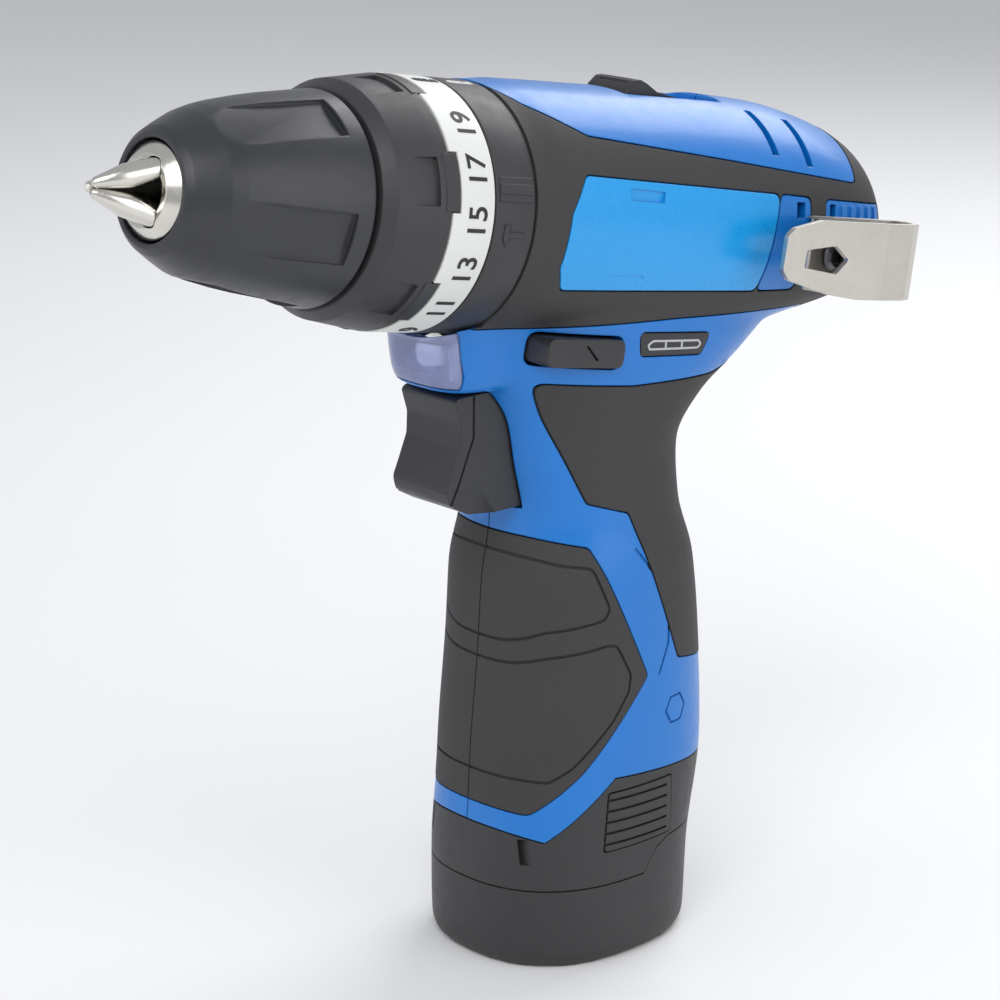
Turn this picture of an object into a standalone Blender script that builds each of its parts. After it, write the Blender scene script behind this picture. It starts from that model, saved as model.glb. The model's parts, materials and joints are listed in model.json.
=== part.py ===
"""Compact cordless combi drill, standing on its battery.

Sizes below are in millimetres, and MM turns them into Blender's metres. The world frame has its
origin at the centre of the battery's flat base, +X towards the chuck, +Y to the drill's left and
+Z up. The head leans back: everything that turns sits in the head frame, whose x axis is the
chuck axis, pointing forwards, and whose origin is at the back edge of the number band.
"""
import math

import bmesh
import bpy
from mathutils import Vector

MM = 0.001

# Head frame
HEAD_ORIGIN = (38.4, 0.0, 157.7)
HEAD_TILT = math.radians(9.75)

# Housing: stations of the head as (x, top, bottom, half width, power) in the head frame
HEAD_STATIONS = (
    (-10.4, 24.4, 24.4, 24.4, 2.0),
    (-18.0, 25.1, 25.6, 24.8, 2.1),
    (-40.0, 25.4, 26.2, 25.0, 2.2),
    (-66.0, 25.8, 25.6, 25.0, 2.2),
    (-85.0, 25.4, 21.6, 24.7, 2.2),
    (-98.0, 23.6, 17.8, 23.8, 2.2),
    (-108.0, 20.6, 15.0, 21.9, 2.2),
    (-115.0, 15.8, 11.6, 18.0, 2.1),
    (-118.5, 10.4, 8.0, 12.6, 2.0),
)
# Handle and battery pod as (z, centre x, half length, half width, power) in the world frame
HANDLE_STATIONS = (
    (0.0, -1.0, 24.6, 22.0, 2.4),
    (2.5, -1.0, 26.0, 23.3, 2.4),
    (18.0, -1.3, 26.4, 23.6, 2.4),
    (40.0, -4.0, 27.6, 23.3, 2.4),
    (66.0, -4.6, 25.8, 22.6, 2.4),
    (80.0, -4.2, 24.4, 22.2, 2.4),
    (93.0, -3.6, 21.8, 20.4, 2.25),
    (105.0, -2.4, 23.4, 19.6, 2.25),
    (114.0, -5.6, 28.6, 19.8, 2.3),
    (120.0, -9.0, 36.0, 20.2, 2.4),
    (127.0, -10.5, 43.0, 20.6, 2.5),
    (138.0, -12.0, 44.0, 20.8, 2.5),
)
# Chin that carries the lamp, as (z, centre x, half length, half width, power)
CHIN_STATIONS = (
    (121.4, 22.0, 14.4, 11.6, 3.2),
    (124.0, 22.0, 15.6, 12.6, 3.2),
    (140.0, 22.0, 17.0, 14.0, 3.0),
)
FORM_SIDES = 20
CAVITY_SIDES = 14
OPEN_FRONT = 6.0      # how far the inner forms run out of the head's front, where it has no skin

SKIN = 1.2            # thickness of the rubber and of the clipped-on panels
GAP = 0.3             # space kept between pieces that touch
SKIN_FLOOR = SKIN + GAP
WALL = 2.6            # housing wall with its skin

# Chuck
CHUCK_BORE_RADIUS = 5.3
JAW_ANGLE = math.radians(17.0)
JAW_RADIUS = 2.3
JAW_LENGTH = 30.0
JAW_TIP_X = 73.3
JAW_TIP_OFFSET = 1.6
JAW_COUNT = 3
JAW_CUT_X = 62.0      # the gripping faces start here

# Gears: two equal planetary stages
GEAR_MODULE = 0.75
SUN_TEETH = 12
PLANET_TEETH = 12
RING_TEETH = SUN_TEETH + 2 * PLANET_TEETH
PLANET_COUNT = 3
PLANET_ORBIT = GEAR_MODULE * (SUN_TEETH + PLANET_TEETH) / 2
PLANET_BORE = 2.0
PIN_RADIUS = 1.7
GEAR_WIDTH = 7.4
STAGE_ONE_X = -29.0
STAGE_TWO_X = -16.6
RING_OUTER_RADIUS = 16.8

# Torque ring, number band and mode ring
COLLAR_RADIUS = 24.2
COLLAR_BORE = 19.0
BAND_BACK_X = 0.3
BAND_FRONT_X = 9.3
TORQUE_FRONT_X = 24.4
MODE_BACK_X = -10.0

# Motor
MOTOR_RADIUS = 17.8
MOTOR_FRONT_X = -36.6
MOTOR_BACK_X = -84.0

# Trigger and switch, in the world frame
TRIGGER_HALF_WIDTH = 8.0
TRIGGER_BACK_X = 12.0
SWITCH_FRONT_X = 0.0
SWITCH_BACK_X = -20.0
TRIGGER_AXIS_Z = 108.0

# Battery
CELL_RADIUS = 9.0
CELL_LENGTH = 65.0
CELL_BASE_Z = 4.0
CELL_SPOTS = ((-9.1, -7.4), (9.1, -7.4), (0.0, 8.36))
CELL_ROOM = 0.25
STICK_WALL = 0.75
STICK_CENTRE_X = -4.5
STICK_TOP_Z = 71.0
CAP_TOP_Z = 17.0
# Seam between handle and battery pod, side view (x, z), front to back
POD_SEAM = ((30.0, 31.0), (24.0, 29.6), (18.5, 27.6), (4.5, 39.6), (-12.0, 38.6), (-34.0, 37.0))

# Screws that close the shells, put in from the right: (x, z, depth of boss) in the world frame
SCREW_SPOTS = ((-66.0, 141.0, 20.6), (-28.0, 122.6, 17.2), (27.8, 125.8, 11.2))
SCREW_TIP_Y = 8.0
SCREW_HEAD_DEPTH = 2.6
SCREW_RADIUS = 1.4
BOSS_RADIUS = 4.2

COLOURS = {
    "blue": ((0.0, 0.16, 0.52), 0.42, 0.0),
    "light_blue": ((0.004, 0.28, 0.68), 0.35, 0.0),
    "rubber": ((0.034, 0.033, 0.034), 0.75, 0.0),
    "black": ((0.022, 0.022, 0.024), 0.5, 0.0),
    "white": ((0.72, 0.72, 0.70), 0.5, 0.0),
    "steel": ((0.60, 0.59, 0.57), 0.3, 1.0),
    "dark_steel": ((0.20, 0.20, 0.21), 0.4, 1.0),
    "lens": ((0.42, 0.50, 0.80), 0.1, 0.0),
    "copper": ((0.60, 0.28, 0.12), 0.4, 1.0),
    "carbon": ((0.05, 0.05, 0.05), 0.7, 0.0),
    "cell": ((0.05, 0.30, 0.16), 0.4, 0.0),
}


# ---------------------------------------------------------------- scene and materials

def clear_scene():
    for obj in list(bpy.data.objects):
        bpy.data.objects.remove(obj, do_unlink=True)


def new_collection(name):
    collection = bpy.data.collections.new(name)
    bpy.context.scene.collection.children.link(collection)
    return collection


clear_scene()
PARTS = new_collection("cordless_drill")
CUTTERS = new_collection("cutters")


def empty(name, location, rotation=(0.0, 0.0, 0.0), parent=None):
    obj = bpy.data.objects.new(name, None)
    obj.empty_display_size = 10 * MM
    PARTS.objects.link(obj)
    obj.parent = parent
    obj.location = Vector(location) * MM
    obj.rotation_euler = rotation
    return obj


def finish_material(name, colour_name):
    colour, roughness, metallic = COLOURS[colour_name]
    material = bpy.data.materials.new(name)
    material.use_nodes = True
    shader = material.node_tree.nodes["Principled BSDF"]
    shader.inputs["Base Color"].default_value = (*colour, 1.0)
    shader.inputs["Roughness"].default_value = roughness
    shader.inputs["Metallic"].default_value = metallic
    return material


def place(name, mesh, colour=None, parent=None, location=(0, 0, 0), rotation=(0, 0, 0)):
    """Links a mesh as a part when it has a colour, and as a cutter when it has none."""
    obj = bpy.data.objects.new(name, mesh)
    (PARTS if colour else CUTTERS).objects.link(obj)
    obj.parent = parent
    obj.location = Vector(location) * MM
    obj.rotation_euler = rotation
    if colour:
        mesh.materials.append(finish_material(name, colour))
        mesh.shade_smooth()
        mesh.set_sharp_from_angle(angle=math.radians(35))
    else:
        obj.hide_render = True
        obj.display_type = "WIRE"
    return obj


HEAD = empty("head_frame", HEAD_ORIGIN, (0.0, -HEAD_TILT, 0.0))
ALONG_HEAD = (0.0, math.pi / 2, 0.0)     # turns a local z axis to the head's x axis
SIDE_VIEW = (math.pi / 2, 0.0, 0.0)      # turns an outline in local xy to the side view


# ---------------------------------------------------------------- shapes

def mesh_from(bm, name):
    mesh = bpy.data.meshes.new(name)
    bm.to_mesh(mesh)
    bm.free()
    return mesh


def scaled(points):
    return [Vector(point) * MM for point in points]


def box(name, low, high, colour=None, parent=None, location=(0, 0, 0), bevel=0.0):
    """A box between two corners, given relative to its location."""
    low, high = Vector(low), Vector(high)
    bm = bmesh.new()
    bmesh.ops.create_cube(bm, size=1.0)
    middle, size = (low + high) / 2, high - low
    bmesh.ops.scale(bm, vec=size * MM, verts=bm.verts)
    bmesh.ops.translate(bm, vec=middle * MM, verts=bm.verts)
    obj = place(name, mesh_from(bm, name), colour, parent, location)
    if bevel:
        round_edges(obj, bevel)
    return obj


def round_edges(obj, width, segments=2, angle=40):
    modifier = obj.modifiers.new("rounded", "BEVEL")
    modifier.width = width * MM
    modifier.segments = segments
    modifier.limit_method = "ANGLE"
    modifier.angle_limit = math.radians(angle)
    return modifier


def turned(name, profile, colour=None, parent=HEAD, location=(0, 0, 0), rotation=ALONG_HEAD,
           ring=True, sides=20):
    """A turned piece from (axial place, radius) pairs that run down its outer side.

    A ring's profile closes on itself; a solid one starts and ends on the axis.
    """
    mesh = bpy.data.meshes.new(name)
    verts = scaled([(radius, 0.0, along) for along, radius in profile])
    edges = [(i, i + 1) for i in range(len(verts) - 1)]
    if ring:
        edges.append((len(verts) - 1, 0))
    mesh.from_pydata(verts, edges, [])
    obj = place(name, mesh, colour, parent, location, rotation)
    modifier = obj.modifiers.new("turned", "SCREW")
    modifier.axis = "Z"
    modifier.steps = modifier.render_steps = sides
    modifier.use_merge_vertices = True
    modifier.merge_threshold = 0.000001
    modifier.use_smooth_shade = True
    return obj


def tube(name, front, back, outer, inner, colour=None, **options):
    return turned(name, [(front, outer), (back, outer), (back, inner), (front, inner)], colour,
                  **options)


def rod(name, front, back, radius, colour=None, **options):
    return turned(name, [(front, 0.0), (front, radius), (back, radius), (back, 0.0)], colour,
                  ring=False, **options)


def outline(name, loops, thickness, colour=None, parent=None, location=(0, 0, 0),
            rotation=SIDE_VIEW):
    """A flat outline, given as loops of (x, y) points, made a mesh of the given thickness."""
    curve = bpy.data.curves.new(name, "CURVE")
    curve.dimensions = "2D"
    curve.fill_mode = "BOTH"
    curve.extrude = thickness * MM / 2
    for loop in loops:
        spline = curve.splines.new("POLY")
        spline.points.add(len(loop) - 1)
        for point, (x, y) in zip(spline.points, loop):
            point.co = (x * MM, y * MM, 0.0, 1.0)
        spline.use_cyclic_u = True
    guide = bpy.data.objects.new(name + "_guide", curve)
    CUTTERS.objects.link(guide)
    bpy.context.view_layer.update()
    evaluated = guide.evaluated_get(bpy.context.evaluated_depsgraph_get())
    mesh = bpy.data.meshes.new_from_object(evaluated)
    bpy.data.objects.remove(guide, do_unlink=True)
    bm = bmesh.new()
    bm.from_mesh(mesh)
    bmesh.ops.remove_doubles(bm, verts=bm.verts, dist=0.000001)
    bmesh.ops.recalc_face_normals(bm, faces=bm.faces)
    bm.to_mesh(mesh)
    bm.free()
    mesh.name = name
    mesh.materials.clear()
    return place(name, mesh, colour, parent, location, rotation)


def round_loop(radius, sides=24, centre=(0.0, 0.0)):
    return [(centre[0] + radius * math.cos(2 * math.pi * i / sides),
             centre[1] + radius * math.sin(2 * math.pi * i / sides)) for i in range(sides)]


def oval(angle, half_a, half_b, power):
    """A point on a superellipse."""
    c, s = math.cos(angle), math.sin(angle)
    return (half_a * math.copysign(abs(c) ** (2 / power), c),
            half_b * math.copysign(abs(s) ** (2 / power), s))


def loft(name, rings, colour=None, parent=None):
    """A closed skin over rings of points, with a flat cap at both ends."""
    bm = bmesh.new()
    rows = [[bm.verts.new(point) for point in scaled(ring)] for ring in rings]
    for row, following in zip(rows, rows[1:]):
        for i in range(len(row)):
            j = (i + 1) % len(row)
            bm.faces.new((row[i], row[j], following[j], following[i]))
    bm.faces.new(rows[0][::-1])
    bm.faces.new(rows[-1])
    bmesh.ops.recalc_face_normals(bm, faces=bm.faces)
    return place(name, mesh_from(bm, name), colour, parent)


def head_rings(inset, sides=FORM_SIDES, open_front=False):
    rings = []
    last = len(HEAD_STATIONS) - 1
    front_shift = OPEN_FRONT if open_front else -inset
    for index, (x, top, bottom, half_width, power) in enumerate(HEAD_STATIONS):
        x += front_shift if index == 0 else (inset if index == last else 0.0)
        ring = []
        for i in range(sides):
            y, z = oval(2 * math.pi * (i + 0.5) / sides, half_width - inset, 1.0, power)
            ring.append((x, y, z * ((top if z > 0 else bottom) - inset)))
        rings.append(ring)
    return rings


def upright_rings(stations, inset, sides=FORM_SIDES):
    rings = []
    last = len(stations) - 1
    for index, (z, centre, half_length, half_width, power) in enumerate(stations):
        z += inset if index == 0 else (-inset if index == last else 0.0)
        ring = []
        for i in range(sides):
            x, y = oval(2 * math.pi * (i + 0.5) / sides, half_length - inset,
                        half_width - inset, power)
            ring.append((centre + x, y, z))
        rings.append(ring)
    return rings


def boolean(obj, other, operation="DIFFERENCE"):
    modifier = obj.modifiers.new(operation.lower(), "BOOLEAN")
    modifier.operation = operation
    modifier.solver = "EXACT"
    modifier.object = other
    return obj


def cut(obj, *cutters):
    for cutter in cutters:
        boolean(obj, cutter)
    return obj


def body_form(name, inset, colour=None, sides=FORM_SIDES, open_front=False):
    """The whole outer form of head, handle, pod and chin, set inwards by a distance."""
    form = loft(name, head_rings(inset, sides, open_front), colour, HEAD)
    boolean(form, loft(name + "_handle", upright_rings(HANDLE_STATIONS, inset, sides)), "UNION")
    boolean(form, loft(name + "_chin", upright_rings(CHIN_STATIONS, inset, sides)), "UNION")
    return form


def keep_one_side(obj, side):
    """Cuts away everything past the parting plane, which lies at y = 0."""
    low, high = (-60.0, GAP / 2) if side > 0 else (-GAP / 2, 60.0)
    return cut(obj, box(obj.name + "_parting", (-150, low, -20), (150, high, 220)))


FORM = body_form("outer_form", 0.0)
SKIN_FORM = body_form("skin_form", SKIN, open_front=True)
FLOOR_FORM = body_form("floor_form", SKIN_FLOOR, open_front=True)
CAVITY_FORM = body_form("cavity_form", WALL, sides=CAVITY_SIDES)


def side_prism(name, loop, side, parent, grow=0.0, inner=GAP / 2, colour=None):
    """A side-view outline that runs outwards from near the parting plane on one side."""
    if grow:
        loop = grow_loop(loop, grow)
    depth = 45.0 - inner
    return outline(name, [loop], depth, colour, parent, (0, side * (inner + depth / 2), 0))


def grow_loop(loop, distance):
    """Moves each side of a loop outwards by a distance, or inwards if it is negative."""
    area = sum(a[0] * b[1] - b[0] * a[1] for a, b in zip(loop, loop[1:] + loop[:1]))
    turn = 1.0 if area > 0 else -1.0
    grown = []
    for i, point in enumerate(loop):
        before, after = Vector(loop[i - 1]), Vector(loop[(i + 1) % len(loop)])
        here = Vector(point)
        first, second = (here - before).normalized(), (after - here).normalized()
        normals = [Vector((d.y, -d.x)) * turn for d in (first, second)]
        middle = (normals[0] + normals[1]).normalized()
        grown.append(tuple(here + middle * distance / max(0.4, middle.dot(normals[0]))))
    return grown


# ---------------------------------------------------------------- outlines of the shells' skins

# Side views in the head frame (x, z)
OVERMOULD = [(-10.7, 23.4), (-14.0, 21.2), (-25.5, 16.8), (-62.0, 14.4), (-102.5, 11.4),
             (-105.5, 30.0), (-121.0, 30.0), (-121.0, -20.0), (-104.0, -20.0), (-97.0, -14.4),
             (-55.0, -17.4), (-10.7, -21.6)]
PANEL_WINDOW = [(-22.6, 9.8), (-76.5, 8.6), (-74.0, -11.2), (-20.6, -12.4), (-18.4, -8.0),
                (-19.0, 2.4)]
TAIL_WINDOW = [(-76.8, 8.6), (-113.0, 7.4), (-113.0, -9.4), (-74.3, -11.2)]
GAUGE = [(-45.6, -20.4), (-66.0, -20.0), (-64.0, -24.6), (-46.6, -25.2)]
# Side views in the world frame (x, z)
REAR_GRIP = [(20.6, 122.6), (8.4, 96.6), (-0.6, 93.6), (-13.4, 61.0), (-40.0, 55.0),
             (-50.0, 90.0), (-60.0, 116.0), (-42.0, 118.6), (-26.0, 117.6), (-2.0, 119.2)]
FRONT_GRIP = [(40.0, 92.0), (17.0, 89.8), (8.6, 87.8), (-4.2, 59.4), (11.5, 41.6),
              (20.5, 33.0), (40.0, 37.6)]
POD_SPACE = list(POD_SEAM) + [(-60.0, 36.0), (-60.0, -10.0), (60.0, -10.0), (60.0, 33.0)]
LATCH = [(6.0, 36.4), (7.4, 24.4), (-11.0, 24.4), (-11.0, 36.4)]


def skin_piece(name, loop, side, parent, colour, windows=()):
    """A skin of even thickness that follows the outer form inside a side-view outline."""
    piece = side_prism(name, loop, side, parent, -GAP / 2, colour=colour)
    for index, window in enumerate(windows):
        cut(piece, side_prism(f"{name}_window_{index}", window, side, parent, GAP / 2))
    boolean(piece, FORM, "INTERSECT")
    return cut(piece, SKIN_FORM)


def skin_pocket(name, loop, side, parent, windows=()):
    """The space in a shell that holds a skin piece."""
    pocket = side_prism(name, loop, side, parent, GAP / 2, inner=-2.0)
    for index, window in enumerate(windows):
        cut(pocket, side_prism(f"{name}_window_{index}", window, side, parent, -GAP / 2,
                               inner=-4.0))
    return cut(pocket, FLOOR_FORM)


SKINS = (
    ("overmould", OVERMOULD, HEAD, "rubber", (PANEL_WINDOW, TAIL_WINDOW)),
    ("side_panel", PANEL_WINDOW, HEAD, "light_blue", ()),
    ("rear_grip", REAR_GRIP, None, "rubber", ()),
    ("front_grip", FRONT_GRIP, None, "rubber", ()),
)
# The overmould and the side panel share one pocket, which goes round the tail window
POCKETS = (
    ("head", OVERMOULD, HEAD, (TAIL_WINDOW,)),
    ("rear_grip", REAR_GRIP, None, ()),
    ("front_grip", FRONT_GRIP, None, ()),
)


# ---------------------------------------------------------------- housing shells

def screw_cutters():
    """Boss cylinders and bores, one pair for each screw that closes the shells."""
    bosses, bores = [], []
    for index, (x, z, depth) in enumerate(SCREW_SPOTS):
        spot = (x, 0, z)
        bosses.append(rod(f"boss_{index}", depth, -depth, BOSS_RADIUS, parent=None, location=spot,
                          rotation=(math.pi / 2, 0, 0), sides=12))
        seat = depth - SCREW_HEAD_DEPTH - GAP
        bore = SCREW_RADIUS + GAP
        bores.append(turned(f"screw_bore_{index}",
                            [(40.0, 0), (40.0, 3.2), (seat, 3.2), (seat, bore),
                             (-SCREW_TIP_Y - 1.0, bore), (-SCREW_TIP_Y - 1.0, 0)], None, None,
                            spot, (math.pi / 2, 0, 0), ring=False, sides=10))
    return bosses, bores


def housing_cutters():
    head_bore = rod("nose_bore", 40.0, -16.0, 18.9)
    ring_space = rod("ring_space", 40.0, MODE_BACK_X - GAP, COLLAR_RADIUS + 0.7)
    slider_recess = box("slider_recess", (-73.5, -7.0, 23.6), (-45.5, 7.0, 40.0), parent=HEAD)
    slider_slot = box("slider_slot", (-68.0, -2.6, 15.0), (-51.0, 2.6, 25.0), parent=HEAD)
    trigger_slot = box("trigger_slot", (TRIGGER_BACK_X - 12, -TRIGGER_HALF_WIDTH - 0.5, 95.4),
                       (60.0, TRIGGER_HALF_WIDTH + 0.5, 121.0))
    button_slot = outline("button_slot", [rounded_bar(21.6, 6.8, 1.8)], 60.0, None, HEAD,
                          (-31.0, 0.0, -24.6))
    lens_pocket = box("lens_pocket", (34.0, -10.6, 122.4), (60.0, 10.6, 140.0))
    return [head_bore, ring_space, slider_recess, slider_slot, trigger_slot, button_slot,
            lens_pocket]


def rounded_bar(length, height, radius, steps=3):
    """A rectangle with round corners, about the origin."""
    loop = []
    for corner, (sx, sy) in enumerate(((1, 1), (-1, 1), (-1, -1), (1, -1))):
        for step in range(steps + 1):
            angle = math.pi / 2 * (corner + step / steps)
            loop.append((sx * (length / 2 - radius) + radius * math.cos(angle),
                         sy * (height / 2 - radius) + radius * math.sin(angle)))
    return loop


def build_housing():
    shared = housing_cutters()
    bosses, bores = screw_cutters()
    pod_space = outline("pod_space", [POD_SPACE], 100.0)
    clip_hole = rod("clip_screw_bore", 10.0, -12.0, 1.8, parent=HEAD, location=(-92.0, 24.0, -3.0),
                    rotation=(-math.pi / 2, 0, 0), sides=12)
    for side, word in ((1, "left"), (-1, "right")):
        shell = body_form(f"{word}_housing", 0.0, "blue")
        cut(shell, pod_space, CAVITY_FORM)
        for boss in bosses:
            boolean(shell, boss, "UNION")
        cut(shell, *shared, *bores)
        for name, loop, parent, windows in POCKETS:
            cut(shell, skin_pocket(f"{word}_{name}_pocket", loop, side, parent, windows))
        for name, loop, parent, colour, windows in SKINS:
            piece = skin_piece(f"{word}_{name}", loop, side, parent, colour, windows)
            if name.endswith("grip"):
                cut(piece, shared[4])
        if side > 0:
            cut(shell, skin_pocket("gauge_pocket", GAUGE, side, HEAD), clip_hole)
        keep_one_side(shell, side)
    skin_piece("battery_gauge", GAUGE, 1, HEAD, "black")
    lens = box("lamp_lens", (34.3, -10.3, 122.7), (50.0, 10.3, 139.0), "lens")
    boolean(lens, FORM, "INTERSECT")
    cut(lens, rod("lens_ring_space", 40.0, MODE_BACK_X - GAP, COLLAR_RADIUS + 0.9),
        box("lamp_recess", (30.0, -7.0, 124.6), (36.0, 7.0, 130.6)))


def build_screws():
    for index, (x, z, depth) in enumerate(SCREW_SPOTS):
        seat = depth - SCREW_HEAD_DEPTH
        turned(f"housing_screw_{index + 1}",
               [(depth, 0), (depth, 2.4), (depth - 0.5, 2.8), (seat, 2.8), (seat, SCREW_RADIUS),
                (-SCREW_TIP_Y, SCREW_RADIUS), (-SCREW_TIP_Y - 0.6, 0)],
               "dark_steel", None, (x, 0, z), (math.pi / 2, 0, 0), ring=False, sides=10)


# ---------------------------------------------------------------- chuck

def build_chuck():
    body = turned("chuck_body", [(62.4, 5.4), (62.4, 6.8), (60.4, 8.9), (52.0, 8.9), (49.6, 12.0),
                                 (46.6, 12.0), (46.6, 10.2), (40.2, 10.2), (40.2, 14.6),
                                 (25.0, 14.6), (25.0, CHUCK_BORE_RADIUS),
                                 (56.0, CHUCK_BORE_RADIUS)], "steel", sides=20)
    for index in range(JAW_COUNT):
        spin = 2 * math.pi * index / JAW_COUNT + math.pi / 2
        carrier = empty(f"jaw_axis_{index + 1}", (0, 0, 0), (spin, 0, 0), HEAD)
        slope = (0.0, math.pi / 2 + JAW_ANGLE, 0.0)
        tip = (JAW_TIP_X - 2.0, 0.0, JAW_TIP_OFFSET)
        hole = rod(f"jaw_hole_{index + 1}", 12.0, -60.0, JAW_RADIUS + 0.25, parent=carrier,
                   location=tip, rotation=slope, sides=10)
        cut(body, hole)
        jaw = turned(f"jaw_{index + 1}",
                     [(2.6, 0), (2.0, 0.9), (-4.0, JAW_RADIUS), (-JAW_LENGTH, JAW_RADIUS),
                      (-JAW_LENGTH, 0)], "steel", carrier, tip, slope, ring=False, sides=12)
        cut(jaw, box(f"jaw_face_{index + 1}", (JAW_CUT_X, -8, -20), (90, 8, 0.12), parent=carrier))
        for sign in (1, -1):
            low, high = sorted((-sign * 0.12, sign * 12.0))
            flank = empty(f"jaw_flank_{index + 1}_{sign}", (0, 0, 0),
                          (-sign * math.radians(60), 0, 0), carrier)
            cut(jaw, box(f"jaw_flank_cut_{index + 1}_{sign}", (JAW_CUT_X, low, -20),
                         (90, high, 20), parent=flank))
    tube("scroll_nut", 46.2, 40.8, 15.3, 13.6, "dark_steel")
    build_sleeve()
    turned("chuck_screw", [(39.6, 0), (39.6, 3.4), (37.0, 3.4), (37.0, 1.9), (24.0, 1.9),
                           (24.0, 0)], "dark_steel", ring=False, sides=16)


def build_sleeve():
    turned("chuck_sleeve", [
        (61.0, 9.4), (61.0, 10.4), (59.4, 11.9), (54.0, 14.9), (48.0, 16.7), (42.0, 17.9),
        (33.0, 19.3), (25.4, 20.3), (25.4, 18.3), (35.4, 18.3), (35.4, 15.7), (46.6, 15.7),
        (51.0, 13.0), (56.0, 9.4)],
        "black")


def build_collars():
    turned("torque_ring", [(TORQUE_FRONT_X, 20.6), (22.0, 22.4), (14.0, 23.6),
                           (BAND_FRONT_X + GAP, COLLAR_RADIUS - 0.4), (BAND_FRONT_X + GAP, COLLAR_BORE),
                           (20.6, COLLAR_BORE), (20.6, 13.9), (TORQUE_FRONT_X, 13.9)], "black",
           sides=24)
    tube("number_band", BAND_FRONT_X, BAND_BACK_X, COLLAR_RADIUS, COLLAR_BORE, "white", sides=24)
    tube("mode_ring", -0.1, MODE_BACK_X, COLLAR_RADIUS, COLLAR_BORE, "black", sides=24)


# ---------------------------------------------------------------- gearbox and motor

def tooth_loop(teeth, external=True, phase=0.0):
    """A gear outline with straight-sided teeth and room to run freely."""
    pitch = GEAR_MODULE * teeth / 2
    out, inn = (0.62, 0.86) if external else (0.86, 0.60)
    step = 2 * math.pi / teeth
    wide, narrow = (0.27, 0.11) if external else (0.37, 0.26)
    loop = []
    for tooth in range(teeth):
        centre = tooth * step + phase
        for radius, offset in ((pitch - inn, -wide), (pitch + out, -narrow),
                               (pitch + out, narrow), (pitch - inn, wide)):
            angle = centre + offset * step
            loop.append((radius * math.cos(angle), radius * math.sin(angle)))
    return loop


def gear(name, teeth, bore, x, width, colour, parent=HEAD, location=(0, 0, 0), phase=0.0):
    loops = [tooth_loop(teeth, phase=phase)]
    if bore:
        loops.append(round_loop(bore, 8))
    return outline(name, loops, width, colour, parent,
                   Vector((x, 0, 0)) + Vector(location), ALONG_HEAD)


def ring_gear(name, x, width, colour):
    gap_phase = math.pi / RING_TEETH
    return outline(name, [round_loop(RING_OUTER_RADIUS, 24),
                          tooth_loop(RING_TEETH, False, gap_phase)], width, colour, HEAD,
                   (x, 0, 0), ALONG_HEAD)


def planet_spot(index):
    angle = 2 * math.pi * index / PLANET_COUNT
    return (0.0, PLANET_ORBIT * math.sin(angle), -PLANET_ORBIT * math.cos(angle))


def build_planets(first, x):
    for index in range(PLANET_COUNT):
        gear(f"planet_gear_{first + index}", PLANET_TEETH, PLANET_BORE, x, GEAR_WIDTH, "steel",
             location=planet_spot(index), phase=math.pi / PLANET_TEETH)


def add_pins(disc, front, back):
    for index in range(PLANET_COUNT):
        boolean(disc, rod(f"{disc.name}_pin_{index}", front, back, PIN_RADIUS, location=planet_spot(
            index), sides=12), "UNION")


def build_gearbox():
    case = turned("gearbox_housing", [
        (23.6, 6.2), (23.6, 13.0), (1.0, 13.0), (-0.6, 18.5), (-13.8, 18.5), (-13.8, 21.0),
        (-16.4, 21.0), (-16.4, 18.5), (-34.0, 18.5), (-34.0, 17.1), (-7.0, 17.1), (-3.4, 13.6),
        (-3.4, 9.2), (19.6, 9.2), (19.6, 6.2)], "dark_steel")
    tube("spindle_bearing", 19.2, 13.2, 8.9, 5.3, "steel", sides=24)
    build_clutch_spring()
    spindle = turned("spindle", [(34.0, 0), (34.0, 4.0), (33.0, 4.9), (-8.4, 4.9), (-8.4, 12.6),
                                 (-11.4, 12.6), (-11.4, 0)], "steel", ring=False, sides=24)
    boolean(spindle, rod("screw_tap", 40.0, 22.0, 2.2, sides=12))
    add_pins(spindle, -10.0, STAGE_TWO_X - GEAR_WIDTH / 2)
    build_planets(4, STAGE_TWO_X)
    ring_gear("shift_ring_gear", STAGE_TWO_X, GEAR_WIDTH, "dark_steel")
    carrier = turned("stage_carrier", [(-21.8, 0), (-21.8, 12.6), (-24.2, 12.6), (-24.2, 0)],
                     "steel", ring=False, sides=24)
    add_pins(carrier, -23.0, STAGE_ONE_X - GEAR_WIDTH / 2)
    boolean(carrier, gear("carrier_sun", SUN_TEETH, 0, -17.9, 9.4, None), "UNION")
    build_planets(1, STAGE_ONE_X)
    ring_gear("fixed_ring_gear", STAGE_ONE_X, GEAR_WIDTH, "dark_steel")
    gear("motor_pinion", SUN_TEETH, 1.9, STAGE_ONE_X, GEAR_WIDTH, "steel")


def build_clutch_spring():
    curve = bpy.data.curves.new("clutch_spring", "CURVE")
    curve.dimensions = "3D"
    curve.bevel_depth = 0.85 * MM
    curve.bevel_resolution = 0
    curve.use_fill_caps = True
    turns, steps_a_turn, radius, front, back = 4, 12, 15.2, 19.4, 4.2
    spline = curve.splines.new("POLY")
    count = turns * steps_a_turn
    spline.points.add(count)
    for index, point in enumerate(spline.points):
        angle = 2 * math.pi * index / steps_a_turn
        x = back + (front - back) * index / count
        point.co = (x * MM, radius * math.cos(angle) * MM, radius * math.sin(angle) * MM, 1.0)
    return spring_mesh(curve, HEAD)


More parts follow.
